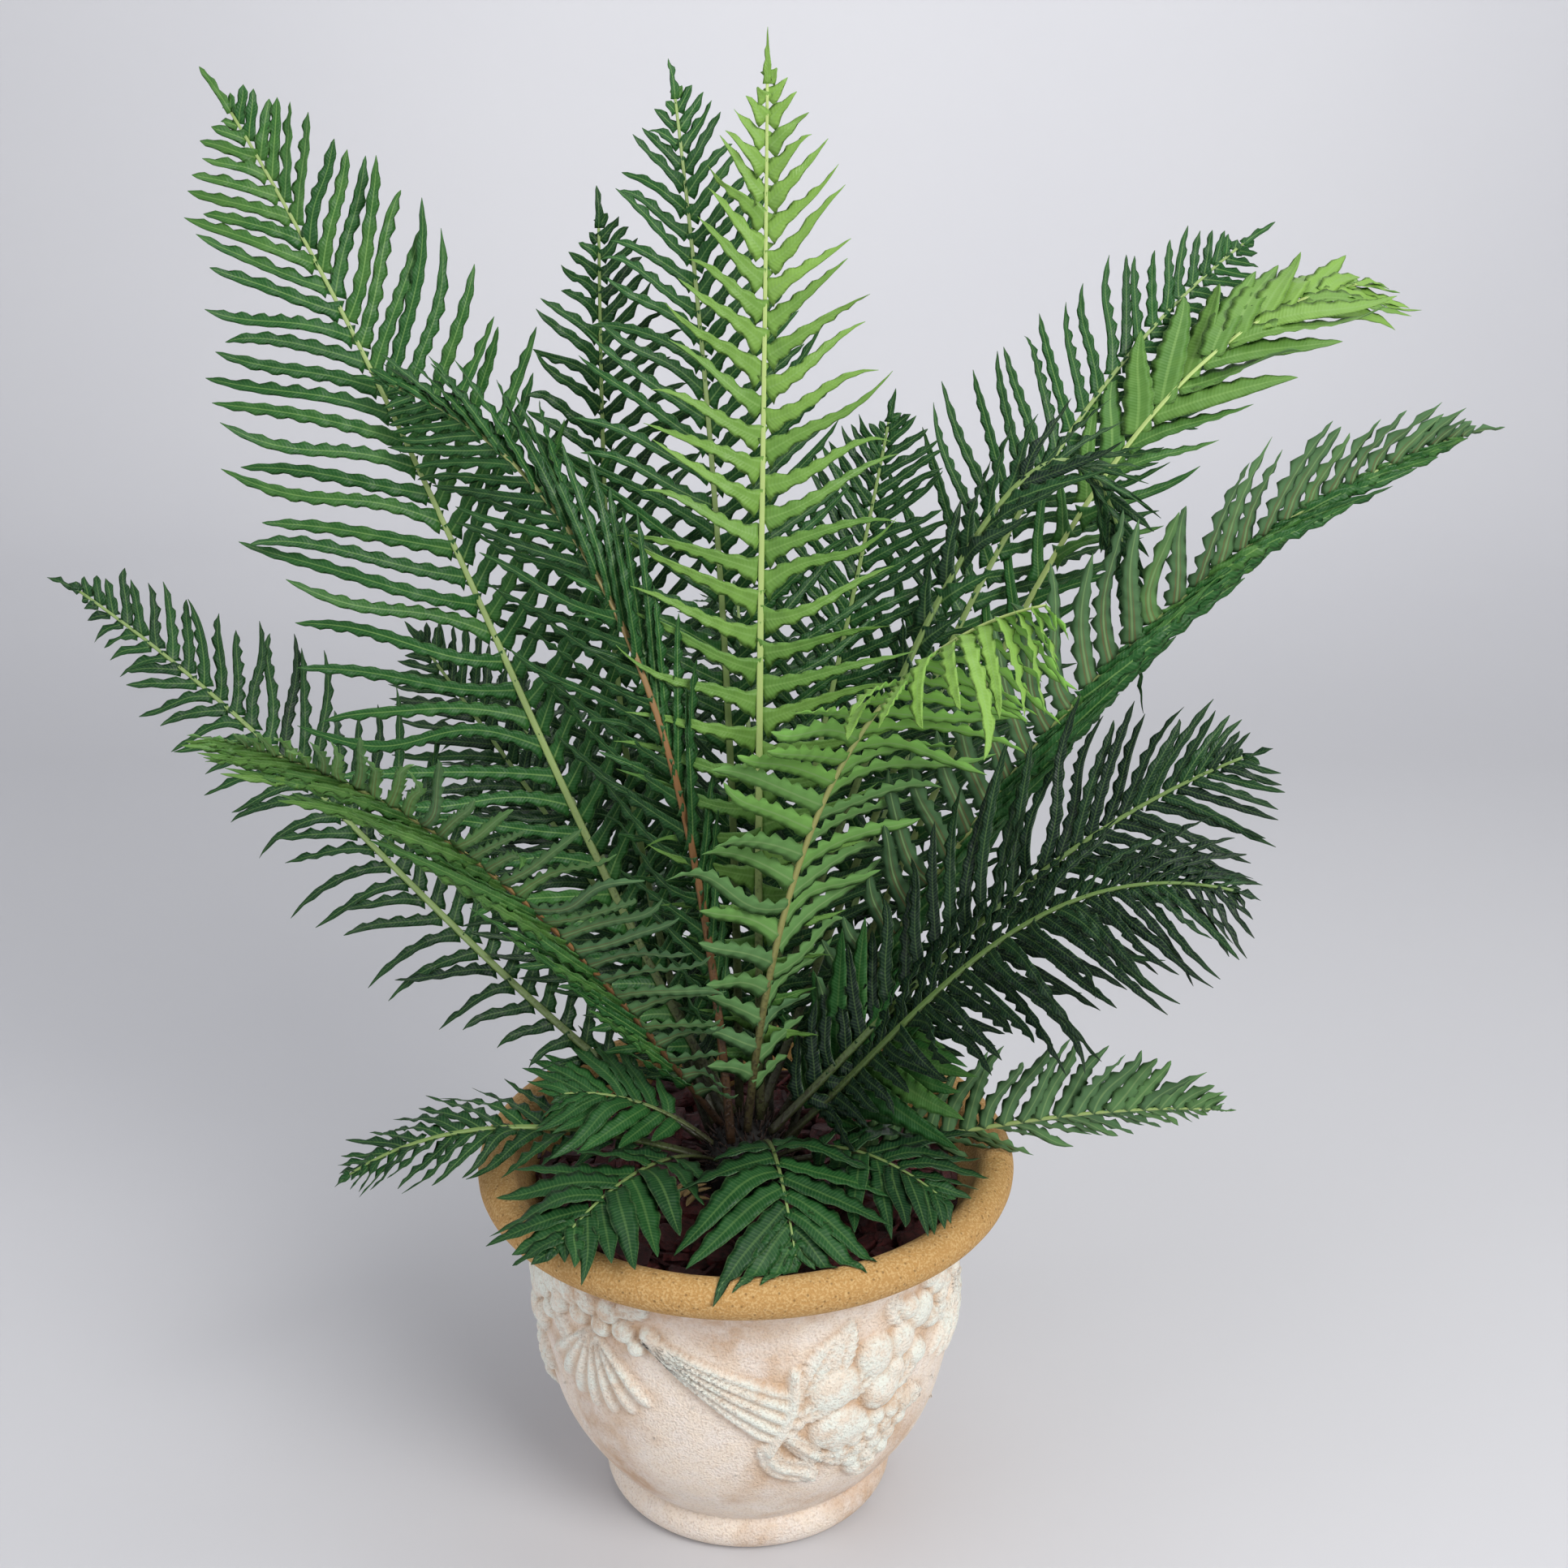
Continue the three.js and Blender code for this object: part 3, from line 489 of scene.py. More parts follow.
def sand_rim_material(settings):
    """Cast stoneware, unglazed, rim left bare: ochre sand with dark and pale grains, quite dry. The
    grains are 1.5 mm wide, coarse enough to show."""
    material, add = new_material("cast_stoneware_bare_rim")
    at = add("TexCoord").outputs["Object"]
    cloud = add("TexNoise", {"Vector": at, "Scale": 1 / (35 * MM), "Detail": 4.0})
    grain = add("TexNoise", {"Vector": at, "Scale": 1 / (1.5 * MM), "Detail": 2.0})
    speck = add("TexVoronoi", {"Vector": at, "Scale": 1 / (4.2 * MM)})
    base = add("Mix", {
        0: cloud.outputs["Fac"], 6: settings.rim_colour, 7: linear("#B98D4F")}, data_type="RGBA")
    grain_mix = add("MapRange", {
        "Value": grain.outputs["Fac"], "From Min": 0.45, "From Max": 0.65, "To Max": 0.6})
    grained = add("Mix", {
        0: grain_mix.outputs[0], 6: base.outputs[2], 7: linear("#DDBB83")}, data_type="RGBA")
    dark = add("MapRange", {
        "Value": speck.outputs["Distance"], "From Min": 0.12, "From Max": 0.24, "To Min": 0.7,
        "To Max": 0.0})
    specked = add("Mix", {0: dark.outputs[0], 6: grained.outputs[2], 7: linear("#7A5B31")}, data_type="RGBA")
    raised = add("Bump", {"Height": grain.outputs["Fac"], "Strength": 0.8, "Distance": 1.2 * MM})
    shader = add("BsdfPrincipled", {
        "Base Color": specked.outputs[2], "Normal": raised.outputs[0], "Roughness": 0.93})
    add("OutputMaterial", {"Surface": shader.outputs[0]})
    return material


def washed_body_material(settings):
    """Cast stoneware with a wiped lime wash: pink-beige body, wash lying white with a green cast on the
    garland, ochre in patches where it was wiped off, more ochre in the grooves and towards the rim, all
    over a sand grain 1.6 mm wide."""
    material, add = new_material("cast_stoneware_lime_washed")
    blade = add("Attribute", attribute_name="blade")
    lie = add("SeparateXYZ", {0: blade.outputs["Vector"]})
    at = add("TexCoord").outputs["Object"]
    cloud = add("TexNoise", {"Vector": at, "Scale": 1 / (55 * MM), "Detail": 5.0})
    wiped = add("TexNoise", {"Vector": at, "Scale": 1 / (16 * MM), "Detail": 6.0, "Roughness": 0.7})
    grain = add("TexNoise", {"Vector": at, "Scale": 1 / (1.6 * MM), "Detail": 3.0})
    level = add("SeparateXYZ", {0: at})
    # more ochre towards the rim: the cloud is raised by up to 0.13 from three quarters of the rim's lowest
    # height up to it
    toward_rim = add("MapRange", {
        "Value": level.outputs["Z"], "From Min": 0.75 * RIM_LOW.z, "From Max": RIM_LOW.z,
        "To Max": 0.13})
    clouded = add("Math", {0: cloud.outputs["Fac"], 1: toward_rim.outputs[0]}, operation="ADD")
    ochre = add("MapRange", {
        "Value": clouded.outputs[0], "From Min": 0.48, "From Max": 0.68, "To Max": 0.85})
    base = add("Mix", {0: ochre.outputs[0], 6: settings.body_colour, 7: linear("#CFA273")}, data_type="RGBA")
    film = add("MapRange", {
        "Value": wiped.outputs["Fac"], "From Min": 0.4, "From Max": 0.66, "To Min": 0.15, "To Max": 0.7})
    filmed = add("Mix", {0: film.outputs[0], 6: base.outputs[2], 7: linear("#FFF6EE")}, data_type="RGBA")
    # x holds how high the garland stands here, from 0 to 1
    high = add("MapRange", {"Value": lie.outputs["X"], "From Max": 0.7, "To Max": 2.0})
    on_high = add("Math", {0: high.outputs[0], 1: film.outputs[0]}, operation="MULTIPLY", use_clamp=True)
    washed = add("Mix", {
        0: on_high.outputs[0], 6: filmed.outputs[2], 7: settings.wash_colour}, data_type="RGBA")
    # y holds how deep a groove is; the grooves are mixed towards a darker ochre
    groove = add("Math", {0: lie.outputs["Y"], 1: 0.7}, operation="MULTIPLY", use_clamp=True)
    grooved = add("Mix", {
        0: groove.outputs[0], 6: washed.outputs[2], 7: linear("#CDA67C")}, data_type="RGBA")
    grain_mix = add("MapRange", {
        "Value": grain.outputs["Fac"], "From Min": 0.52, "From Max": 0.68, "To Max": 0.35})
    grained = add("Mix", {
        0: grain_mix.outputs[0], 6: grooved.outputs[2], 7: linear("#C3A387")}, data_type="RGBA")
    raised = add("Bump", {"Height": grain.outputs["Fac"], "Strength": 1.0, "Distance": 2.0 * MM})
    shader = add("BsdfPrincipled", {
        "Base Color": grained.outputs[2], "Normal": raised.outputs[0], "Roughness": 0.95})
    add("OutputMaterial", {"Surface": shader.outputs[0]})
    return material


def bark_material(name, settings, light):
    """Pine bark, dyed red-brown and damp: layered, dull, darker in its grain, with paler torn fibres."""
    material, add = new_material(name)
    at = add("TexCoord").outputs["Object"]
    tint = add("Attribute", attribute_name="tint")
    vary = add("SeparateXYZ", {0: tint.outputs["Vector"]})
    grain = add("TexNoise", {"Vector": at, "Scale": 1 / (3.5 * MM), "Detail": 6.0, "Roughness": 0.7})
    cloud = add("TexNoise", {"Vector": at, "Scale": 1 / (12 * MM), "Detail": 3.0})
    red = add("Mix", {0: vary.outputs["X"], 6: settings.bark_colour, 7: linear(light)}, data_type="RGBA")
    deep = add("MapRange", {
        "Value": grain.outputs["Fac"], "From Min": 0.35, "From Max": 0.62, "To Min": 0.85, "To Max": 0.0})
    grained = add("Mix", {0: deep.outputs[0], 6: red.outputs[2], 7: linear("#1B0B0B")}, data_type="RGBA")
    torn = add("MapRange", {"Value": cloud.outputs["Fac"], "From Min": 0.6, "From Max": 0.8, "To Max": 0.6})
    mixed = add("Mix", {0: torn.outputs[0], 6: grained.outputs[2], 7: linear("#6A3A2C")}, data_type="RGBA")
    raised = add("Bump", {"Height": grain.outputs["Fac"], "Strength": 0.8, "Distance": 1.2 * MM})
    shader = add("BsdfPrincipled", {
        "Base Color": mixed.outputs[2], "Normal": raised.outputs[0], "Roughness": 0.66})
    add("OutputMaterial", {"Surface": shader.outputs[0]})
    return material


def potting_mix_material():
    """Peat and fine bark, damp: almost black-brown crumbs about 2 mm across."""
    material, add = new_material("peat_potting_mix")
    at = add("TexCoord").outputs["Object"]
    crumb = add("TexVoronoi", {"Vector": at, "Scale": 1 / (2.4 * MM)})
    shade = add("Mix", {
        0: crumb.outputs["Distance"], 6: linear("#3A281C"), 7: linear("#120C08")}, data_type="RGBA")
    raised = add("Bump", {"Height": crumb.outputs["Distance"], "Strength": 0.8, "Distance": 1.0 * MM})
    shader = add("BsdfPrincipled", {
        "Base Color": shade.outputs[2], "Normal": raised.outputs[0], "Roughness": 0.95})
    add("OutputMaterial", {"Surface": shader.outputs[0]})
    return material


def crown_material():
    """Fern crown: papery dark brown scales, paler and rusty at their tips."""
    material, add = new_material("fern_crown_scales")
    blade = add("Attribute", attribute_name="blade")
    lie = add("SeparateXYZ", {0: blade.outputs["Vector"]})
    shade = add("Mix", {0: lie.outputs["Y"], 6: linear("#0E0906"), 7: linear("#38241A")}, data_type="RGBA")
    shader = add("BsdfPrincipled", {"Base Color": shade.outputs[2], "Roughness": 0.7})
    add("OutputMaterial", {"Surface": shader.outputs[0]})
    return material


def dry_leaf_material():
    """Dead fern leaf: tan, brittle and dull, with darker veins and brown blotches."""
    material, add = new_material("dead_fern_leaf")
    at = add("TexCoord").outputs["Object"]
    blotch = add("TexNoise", {"Vector": at, "Scale": 1 / (5 * MM), "Detail": 5.0})
    shade = add("Mix", {
        0: blotch.outputs["Fac"], 6: linear("#C2A572"), 7: linear("#7E6237")}, data_type="RGBA")
    shader = add("BsdfPrincipled", {"Base Color": shade.outputs[2], "Roughness": 0.8})
    add("OutputMaterial", {"Surface": shader.outputs[0]})
    return material


def studio_material(settings):
    """Seamless studio paper: even, pale and matt, with a very faint mottle."""
    material, add = new_material("studio_paper")
    at = add("TexCoord").outputs["Object"]
    cloud = add("TexNoise", {"Vector": at, "Scale": 1.5, "Detail": 2.0})
    shade = add("Mix", {
        0: cloud.outputs["Fac"], 6: settings.floor_colour, 7: linear("#CFCFD3")}, data_type="RGBA")
    shader = add("BsdfPrincipled", {"Base Color": shade.outputs[2], "Roughness": 0.9})
    add("OutputMaterial", {"Surface": shader.outputs[0]})
    return material


# ---------------------------------------------------------------- fronds


def crown_seats():
    """Where each frond leaves the crown: spots on a spiral, the nearest free one to each in turn."""
    free = []
    for i in range(SEATS):
        height = 0.97 - 0.9 * (i + 0.5) / SEATS
        free.append(direction(i * SPIRAL_STEP_DEG, math.degrees(math.asin(height))))
    taken = []
    for frond in FRONDS:
        wanted = direction(frond["heading"], frond["rise"])
        nearest = max(range(len(free)), key=lambda i: float(free[i] @ wanted))
        taken.append(free.pop(nearest))
    return taken


def frames(frond, seat, t):
    """Points of a frond's stalk at each t, from the crown (0) to the tip (1), with the directions
    along it, out of its upper face and to its right."""
    dome = np.array([CROWN_R_MM, CROWN_R_MM, CROWN_TOP_MM - CROWN_WAIST_MM]) + SEAT_GAP_MM
    start = np.array([0, CROWN_Y_MM, CROWN_WAIST_MM]) + seat * dome
    tip = direction(frond["heading"], 0) * frond["reach"] + np.array([0, CROWN_Y_MM, frond["height"]])
    span = np.linalg.norm(tip - start) * frond.get("bow", BOW)
    first = start + direction(frond["heading"], frond["rise"]) * span
    second = tip - direction(frond["heading"], frond["ends"]) * span
    t = np.asarray(t, float)[:, None]
    r = 1 - t
    points = r**3 * start + 3 * r * r * t * first + 3 * r * t * t * second + t**3 * tip
    along = unit(r * r * (first - start) + 2 * r * t * (second - first) + t * t * (tip - second))
    face = direction(*frond["face"])
    normal = unit(face - (along @ face)[:, None] * along)
    return points, along, normal, np.cross(along, normal)


def lift_clear(points):
    """Raises what would sink into the mulch or the planter's rim."""
    out = np.hypot(points[..., 0], points[..., 1])
    on_roll = np.sqrt(np.clip(ROLL_R_MM**2 - (out - ROLL_AT_MM) ** 2, 0, None)) + RIM_TOP_MM - ROLL_R_MM
    floor = np.where(out < ROLL_AT_MM - ROLL_R_MM, BED_TOP_MM, on_roll)
    floor = np.where(out < RIM_R_MM, floor + 1.2, -1e3)
    points[..., 2] = np.maximum(points[..., 2], floor)
    return points


# Columns of a leaflet's section: five across the top, then three beneath; the edges are shared
SECTION_X = np.array([-1, -0.5, 0, 0.5, 1, -0.5, 0, 0.5])  # shares of its half width
SECTION_UP = np.array([0, 0.1, -0.12, 0.1, 0, -0.3, -0.85, -0.3])  # mm over the blade's plane
UNDER_RING = [0, 5, 6, 7, 4]


def stalk_half(t):
    """Half the width of a stalk at t, in mm."""
    return 3.0 * (1 - t) + 0.8 * t


leaflet_kinds = {}  # faces of a leaflet for each number of stations


def leaflet_faces(stations):
    """Faces of a leaflet's ribbon with its two end caps, the material of each, and for each corner
    its place across, its place along and whether it is beneath."""
    top, under = [], []
    for k in range(stations - 1):
        a, b = 8 * k, 8 * (k + 1)
        for j in range(4):
            top.append((a + j, a + j + 1, b + j + 1, b + j))
            p, q = UNDER_RING[j], UNDER_RING[j + 1]
            under.append((a + p, b + p, b + q, a + q))
    last = 8 * (stations - 1)
    caps = [(4, 3, 2, 1, 0, 5, 6, 7), tuple(last + i for i in (0, 1, 2, 3, 4, 7, 6, 5))]
    faces = top + under + caps
    corners = []
    for number, face in enumerate(faces):
        beneath = number >= len(top)
        for v in face:
            station, column = divmod(v, 8)
            corners.append(((SECTION_X[column] + 1) / 2, station / (stations - 1), beneath))
    return faces, [0] * len(top) + [1] * (len(under) + 2), np.array(corners, float)


def leaf_form(frond):
    """The shape of a frond's leaflets: width in mm (0 for the settings' own), narrowing (the higher,
    the later they taper), lean (the share lost evenly on the way) and join (mm of flare at the stalk)."""
    form = dict(width=frond.get("blade", 0), narrowing=6.0, lean=0.25, join=4.5)
    form.update(frond.get("form", {}))
    return form


def add_leaflets(body, frond, t, u, sign, posture, seat, settings, rng, cells):
    """All the leaflets of one side of a frond, as closed ribbons with waved edges. sign is -1 for the
    left side, 1 for the right and 0 for the one at the tip."""
    points, along, normal, side = frames(frond, seat, t)
    out_deg, folded, droop = posture[:3]
    rolled = 0.0
    if len(posture) > 3:  # a bundle
        normal = unit(FRONT - (along @ FRONT)[:, None] * along)
        side = np.cross(along, normal) * posture[3]
        rolled = SHINGLE_DEG * posture[3]
    count = len(t)
    spacing = np.linalg.norm(np.gradient(points, axis=0), axis=1) if count > 1 else np.array([8.0])
    spacing = spacing * math.sin(math.radians(max(out_deg, 40)))  # measured across the leaflets
    fall, blunt = frond.get("fall", (2.2, 0.6))
    share = (0.36 + 0.64 * smooth(0, frond.get("swell", 0.4), u)) * (1 - u**fall) ** blunt
    long = frond["leaf"] * share * rng.uniform(0.9 - frond.get("uneven", 0), 1.06, count)
    long = long * frond.get("shares", (1, 1))[sign > 0]
    if sign == 0:
        to_tip = frames(frond, seat, [TIP_AT, 1.0])[0]
        long = np.full(count, np.linalg.norm(to_tip[1] - to_tip[0]))
    opening = 1.45 - 0.8 * u if "rosette" in frond else 1.08 - frond.get("closing", 0.36) * u * u
    spread = np.radians(out_deg * opening + rng.normal(0, 2.2, count))[:, None]
    fold = np.radians(folded + rng.normal(0, 4.0, count))[:, None]
    sag = droop * (0.4 + 0.6 * u) + frond.get("limp", 0) * u**2
    ahead = unit(along * np.cos(spread) + side * np.sin(spread) * np.cos(fold) * sign
                 + normal * np.sin(spread) * np.sin(fold) - UP * sag[:, None])
    facing = normal * np.cos(fold) - side * np.sin(fold) * sign
    facing = unit(facing - np.sum(facing * ahead, 1, keepdims=True) * ahead)
    across = np.cross(ahead, facing)
    base = points + side * sign * (0.5 * stalk_half(t))[:, None]

    form = leaf_form(frond)
    blade = form["width"] or settings.blade_width / MM
    pitch = settings.wave_pitch / MM
    depth = settings.wave_depth / MM * frond.get("waved", 1.0)
    tone0, tone1 = frond["tone"]
    sweep = frond.get("sweep", 0.1) * abs(sign)
    cell, all_cells = cells
    for i in range(count):
        stations = int(np.clip(math.ceil(long[i] / STATION_GAP_MM), 6, 48))
        s = np.linspace(0, 1, stations)
        d = long[i] * s
        half = min(blade / 2 * (0.7 + 0.3 * min(share[i] / 0.6, 1)), spacing[i] * 0.46)
        width_at = half * (1 - s ** form["narrowing"]) ** 0.8 * (1 - form["lean"] * s)
        flare = max(spacing[i] * 0.54 - half, 0) * np.exp(-d / form["join"])
        if "lobed" in frond:
            fused = smooth(frond.get("fused_from", -1), frond.get("fused_from", -1) + 0.2, u[i])
            filled = (0.6 * spacing[i] + 0.07 * d) * np.clip((1 - s) / (1 - frond["lobed"]), 0, 1) ** 0.8
            width_at = width_at + (filled - width_at) * fused
            flare = flare * (1 - fused)
        waves = [np.sin(math.tau * d / pitch * rng.uniform(0.85, 1.2) + rng.uniform(0, math.tau))
                 for _ in (0, 1)]
        curl = frond.get("curl", (0.5, 0.5))[sign > 0] * rng.uniform(0.3, 1.6)
        hook = rng.normal(0, 0.05) * long[i]
        centre = (base[i] + d[:, None] * ahead[i]
                  - UP * (0.16 * curl * long[i] * s**2)[:, None]
                  + along[i] * (sweep * rng.uniform(0.4, 1.5) * long[i] * s**2)[:, None]
                  + along[i] * (hook * s**7)[:, None]
                  + facing[i] * (rng.normal(0.02, 0.025) * long[i] * np.sin(math.pi * s * 1.6)
                                 + rng.normal(0, 0.04) * long[i] * s**6)[:, None]
                  + along[i] * (rng.normal(0, 0.018) * long[i] * np.sin(math.tau * s))[:, None])
        twist = np.radians(rolled * sign * -1 + rng.normal(0, 7) + rng.normal(0, 20) * s**1.5)[:, None]
        wide = across[i] * np.cos(twist) + facing[i] * np.sin(twist)
        high = facing[i] * np.cos(twist) - across[i] * np.sin(twist)
        settle = smooth(0, 0.12, s) * (1 - s**6)
        vertices = np.empty((stations, 8, 3))
        for j, x in enumerate(SECTION_X):
            wave = waves[0] if x < 0 else waves[1]
            half_here = width_at * (1 + frond.get("toothed", 0.2) * wave * (abs(x) == 1)) + flare
            half_here = np.maximum(half_here, 0.18)
            thin = np.clip(half_here / 2.0, 0.15, 1)
            lift = (SECTION_UP[j] * thin + 0.14 * abs(x) * width_at
                    + depth * wave * abs(x) ** 1.6 * settle * thin)
            vertices[:, j, :] = centre + wide * (x * half_here)[:, None] + high * lift[:, None]
        blade_at = np.stack([np.broadcast_to(SECTION_X, (stations, 8)),
                             np.broadcast_to(s[:, None], (stations, 8)),
                             np.broadcast_to(d[:, None] / 10, (stations, 8))], -1)
        # tone is partly age and partly painted shade: the fronds deep in the plant are given low tones for
        # the shade there
        tone = tone0 + (tone1 - tone0) * u[i] ** frond.get("late", 1) + rng.normal(0, 0.05)
        ribbed = rng.uniform(0.7, 1) * (0.4 if "rosette" in frond else np.clip(0.35 + 1.6 * tone, 0.35, 1))
        tint = np.tile([tone, frond.get("sori", 0.0), ribbed], (stations * 8, 1))
        if stations not in leaflet_kinds:
            leaflet_kinds[stations] = leaflet_faces(stations)
        faces, slots, corners = leaflet_kinds[stations]
        uvs = np.stack([(cell + i + 0.08 + 0.84 * corners[:, 0]) / all_cells,
                        0.02 + 0.44 * corners[:, 1] + 0.47 * corners[:, 2]], -1)
        body.add(lift_clear(vertices).reshape(-1, 3), faces, slots, blade_at.reshape(-1, 3), tint, uvs)


def add_stalk(body, frond, seat):
    """The stalk as a grooved rod, thick and flat at the crown and fine at the tip."""
    stations, sides = 72, 10
    t = np.linspace(0, TIP_AT, stations)
    points, _, normal, side = frames(frond, seat, t)
    angles = np.arange(sides) * math.tau / sides + math.pi / 2
    fine = 0.6 if "rosette" in frond else 1.0
    half = fine * stalk_half(t)
    thick = fine * (2.2 * (1 - t) + 0.7 * t)
    points = points + normal * (0.45 * thick)[:, None]  # it stands proud of the blade
    groove = np.where(np.arange(sides) == 0, 0.35, 1.0)
    vertices = (points[:, None, :]
                + side[:, None, :] * (np.cos(angles)[None, :] * half[:, None])[..., None]
                + normal[:, None, :] * (np.sin(angles)[None, :] * groove * thick[:, None])[..., None])
    quads = ring_faces(stations, sides)
    last = (stations - 1) * sides
    caps = [tuple(range(sides))[::-1], tuple(range(last, last + sides))]
    blade = np.zeros((stations, sides, 3))
    blade[..., 1] = t[:, None] * (0.45 if "rosette" in frond else 1.0)
    tone0, tone1 = frond["tone"]
    tint = np.zeros((stations, sides, 3))
    tint[..., 0] = (tone0 + (tone1 - tone0) * t)[:, None]
    tint[..., 2] = frond.get("brown", 0.0) * (1 - 0.75 * smooth(0.4, 0.85, t))[:, None]
    uvs = [((a + i) / stations, 0.95 + 0.045 * (j + k) / sides) for a in range(stations - 1)
           for j in range(sides) for i, k in ((0, 0), (0, 1), (1, 1), (1, 0))]
    uvs += [(0.001, 0.96)] * (2 * sides)
    body.add(vertices.reshape(-1, 3), quads + caps, [2] * (len(quads) + 2), blade.reshape(-1, 3),
             tint.reshape(-1, 3), np.array(uvs))


def build_frond(number, frond, seat, settings, materials):
    """One frond: its stalk, its left and right leaflets and the one at the tip. u runs from the first
    pair of leaflets (0) to the tip (1), and t along the whole stalk."""
    rng = np.random.RandomState(100 + number)
    body = Body()
    add_stalk(body, frond, seat)
    place_at = (np.arange(frond["pairs"]) + 0.5) / frond["pairs"]
    u = 1 - (1 - place_at) ** 1.25
    low = frond["bare"] * (1 if "rosette" in frond else 0.6)
    t = low + (TIP_AT - low) * u
    cells = 2 * frond["pairs"] + 1
    half_step = 0.25 / frond["pairs"]
    for sign, posture, first in ((-1, frond["left"], 0), (1, frond["right"], frond["pairs"])):
        shift = t + half_step * sign  # leaflets of the two sides alternate slightly
        add_leaflets(body, frond, np.clip(shift, 0, 1), u, sign, posture, seat, settings, rng,
                     (first, cells))
    add_leaflets(body, frond, np.array([TIP_AT]), np.array([0.97]), 0, (0.0, 0.0, 0.0), seat, settings,
                 rng, (cells - 1, cells))
    piece = body.build("fern_frond_" + frond["name"], materials)
    slot = "young_leaf" if frond["name"] in YOUNG else "leaf"
    return place(piece, slot, "frond_" + frond["name"])


# ---------------------------------------------------------------- planter


def smooth_line(points, steps):
    """A smooth line through the points."""
    p = np.array([points[0], *points, points[-1]], float)
    at = np.linspace(0, len(points) - 1, steps + 1)
    i = np.minimum(at.astype(int), len(points) - 2)
    f = (at - i)[:, None]
    a, b, c, d = p[i], p[i + 1], p[i + 2], p[i + 3]
    return 0.5 * (2 * b + (c - a) * f + (2 * a - 5 * b + 4 * c - d) * f**2
                  + (3 * b - a - 3 * c + d) * f**3)


def round_line(centre_r, centre_z, radius, from_deg, to_deg, steps):
    """Points of an arc in the planter's section."""
    a = np.radians(np.linspace(from_deg, to_deg, steps + 1))
    return np.stack([centre_r + radius * np.cos(a), centre_z + radius * np.sin(a)], -1)


class Relief:
    """A height over the planter's wall, stamped shape by shape. s runs round the garland and z up."""

    def __init__(self, s, z, period):
        self.s, self.z, self.period = s, z, period
        self.height = np.zeros_like(s)

    def near(self, s0, z0, tilt=0.0):
        """Every point's place beside this one, turned by tilt, the short way round the garland."""
        ds = (self.s - s0 + self.period / 2) % self.period - self.period / 2
        dz = self.z - z0
        c, n = math.cos(math.radians(tilt)), math.sin(math.radians(tilt))
        return ds * c + dz * n, dz * c - ds * n

    def raise_to(self, height):
        self.height = np.maximum(self.height, height)

    def fruit(self, s0, z0, wide, tall, height, tilt=0.0):
        """A rounded swelling, such as a fruit."""
        x, y = self.near(s0, z0, tilt)
        self.raise_to(height * np.sqrt(np.clip(1 - (x / wide) ** 2 - (y / tall) ** 2, 0, None)))

    def leaf(self, s0, z0, wide, tall, height, tilt):
        """A pointed leaf with a sunk midrib and toothed edges; tilt turns its tip from upright."""
        x, y = self.near(s0, z0, tilt)
        room = np.clip(1 - (y / tall) ** 2, 0, None)
        half = wide * room * (1 + 0.12 * np.sin(y * math.tau / 5.0))
        inside = np.clip(1 - (np.abs(x) / np.maximum(half, 0.01)) ** 3, 0, None)
        ribs = 1 - 0.35 * np.exp(-((x / 1.3) ** 2))
        ribs = ribs - 0.12 * (1 + np.cos((np.abs(x) * 0.8 - y) * math.tau / 5.5))
        self.raise_to(height * np.sqrt(inside) * ribs)

    def shell(self, s0, z0, radius, open_deg, ribs, height):
        """A scallop shell that hangs open downwards from its hinge."""
        x, y = self.near(s0, z0)
        out = np.hypot(x, y)
        angle = np.degrees(np.arctan2(x, -y))
        inside = np.clip((open_deg - np.abs(angle)) / 6, 0, 1)
        flute = np.cos(np.radians(angle) * math.pi * ribs / math.radians(open_deg))
        reach = radius * (1 + 0.05 * flute)
        rim = np.clip(1 - (out / reach) ** 6, 0, None) ** 0.5
        belly = 0.5 + 0.5 * np.sin(np.clip(out / radius, 0, 1) * math.pi * 0.75)
        self.raise_to(height * inside * rim * belly * (0.72 + 0.28 * flute))

    def cloth(self, line, widths, height, folds):
        """A gathered band of cloth along a line, with folds that run along it."""
        line = smooth_line(line, 24)
        widths = np.interp(np.linspace(0, 1, 25), np.linspace(0, 1, len(widths)), widths)
        best = np.full(self.s.shape, 1e9)
        across = np.zeros_like(best)
        wide = np.ones_like(best)
        for (s0, z0), (s1, z1), w in zip(line[:-1], line[1:], widths):
            x, y = self.near(s0, z0)
            ds, dz = s1 - s0, z1 - z0
            run = max(math.hypot(ds, dz), 1e-6)
            f = np.clip((x * ds + y * dz) / run**2, 0, 1)
            gap_x, gap_y = x - f * ds, y - f * dz
            away = np.hypot(gap_x, gap_y)
            nearer = away < best
            best = np.where(nearer, away, best)
            side = (ds * y - dz * x) / run
            across = np.where(nearer, side, across)
            wide = np.where(nearer, w, wide)
        inside = np.clip(1 - (best / wide) ** 4, 0, None) ** 0.5
        fold = 0.74 + 0.26 * np.cos(across / wide * math.pi * folds)
        self.raise_to(height * inside * fold)


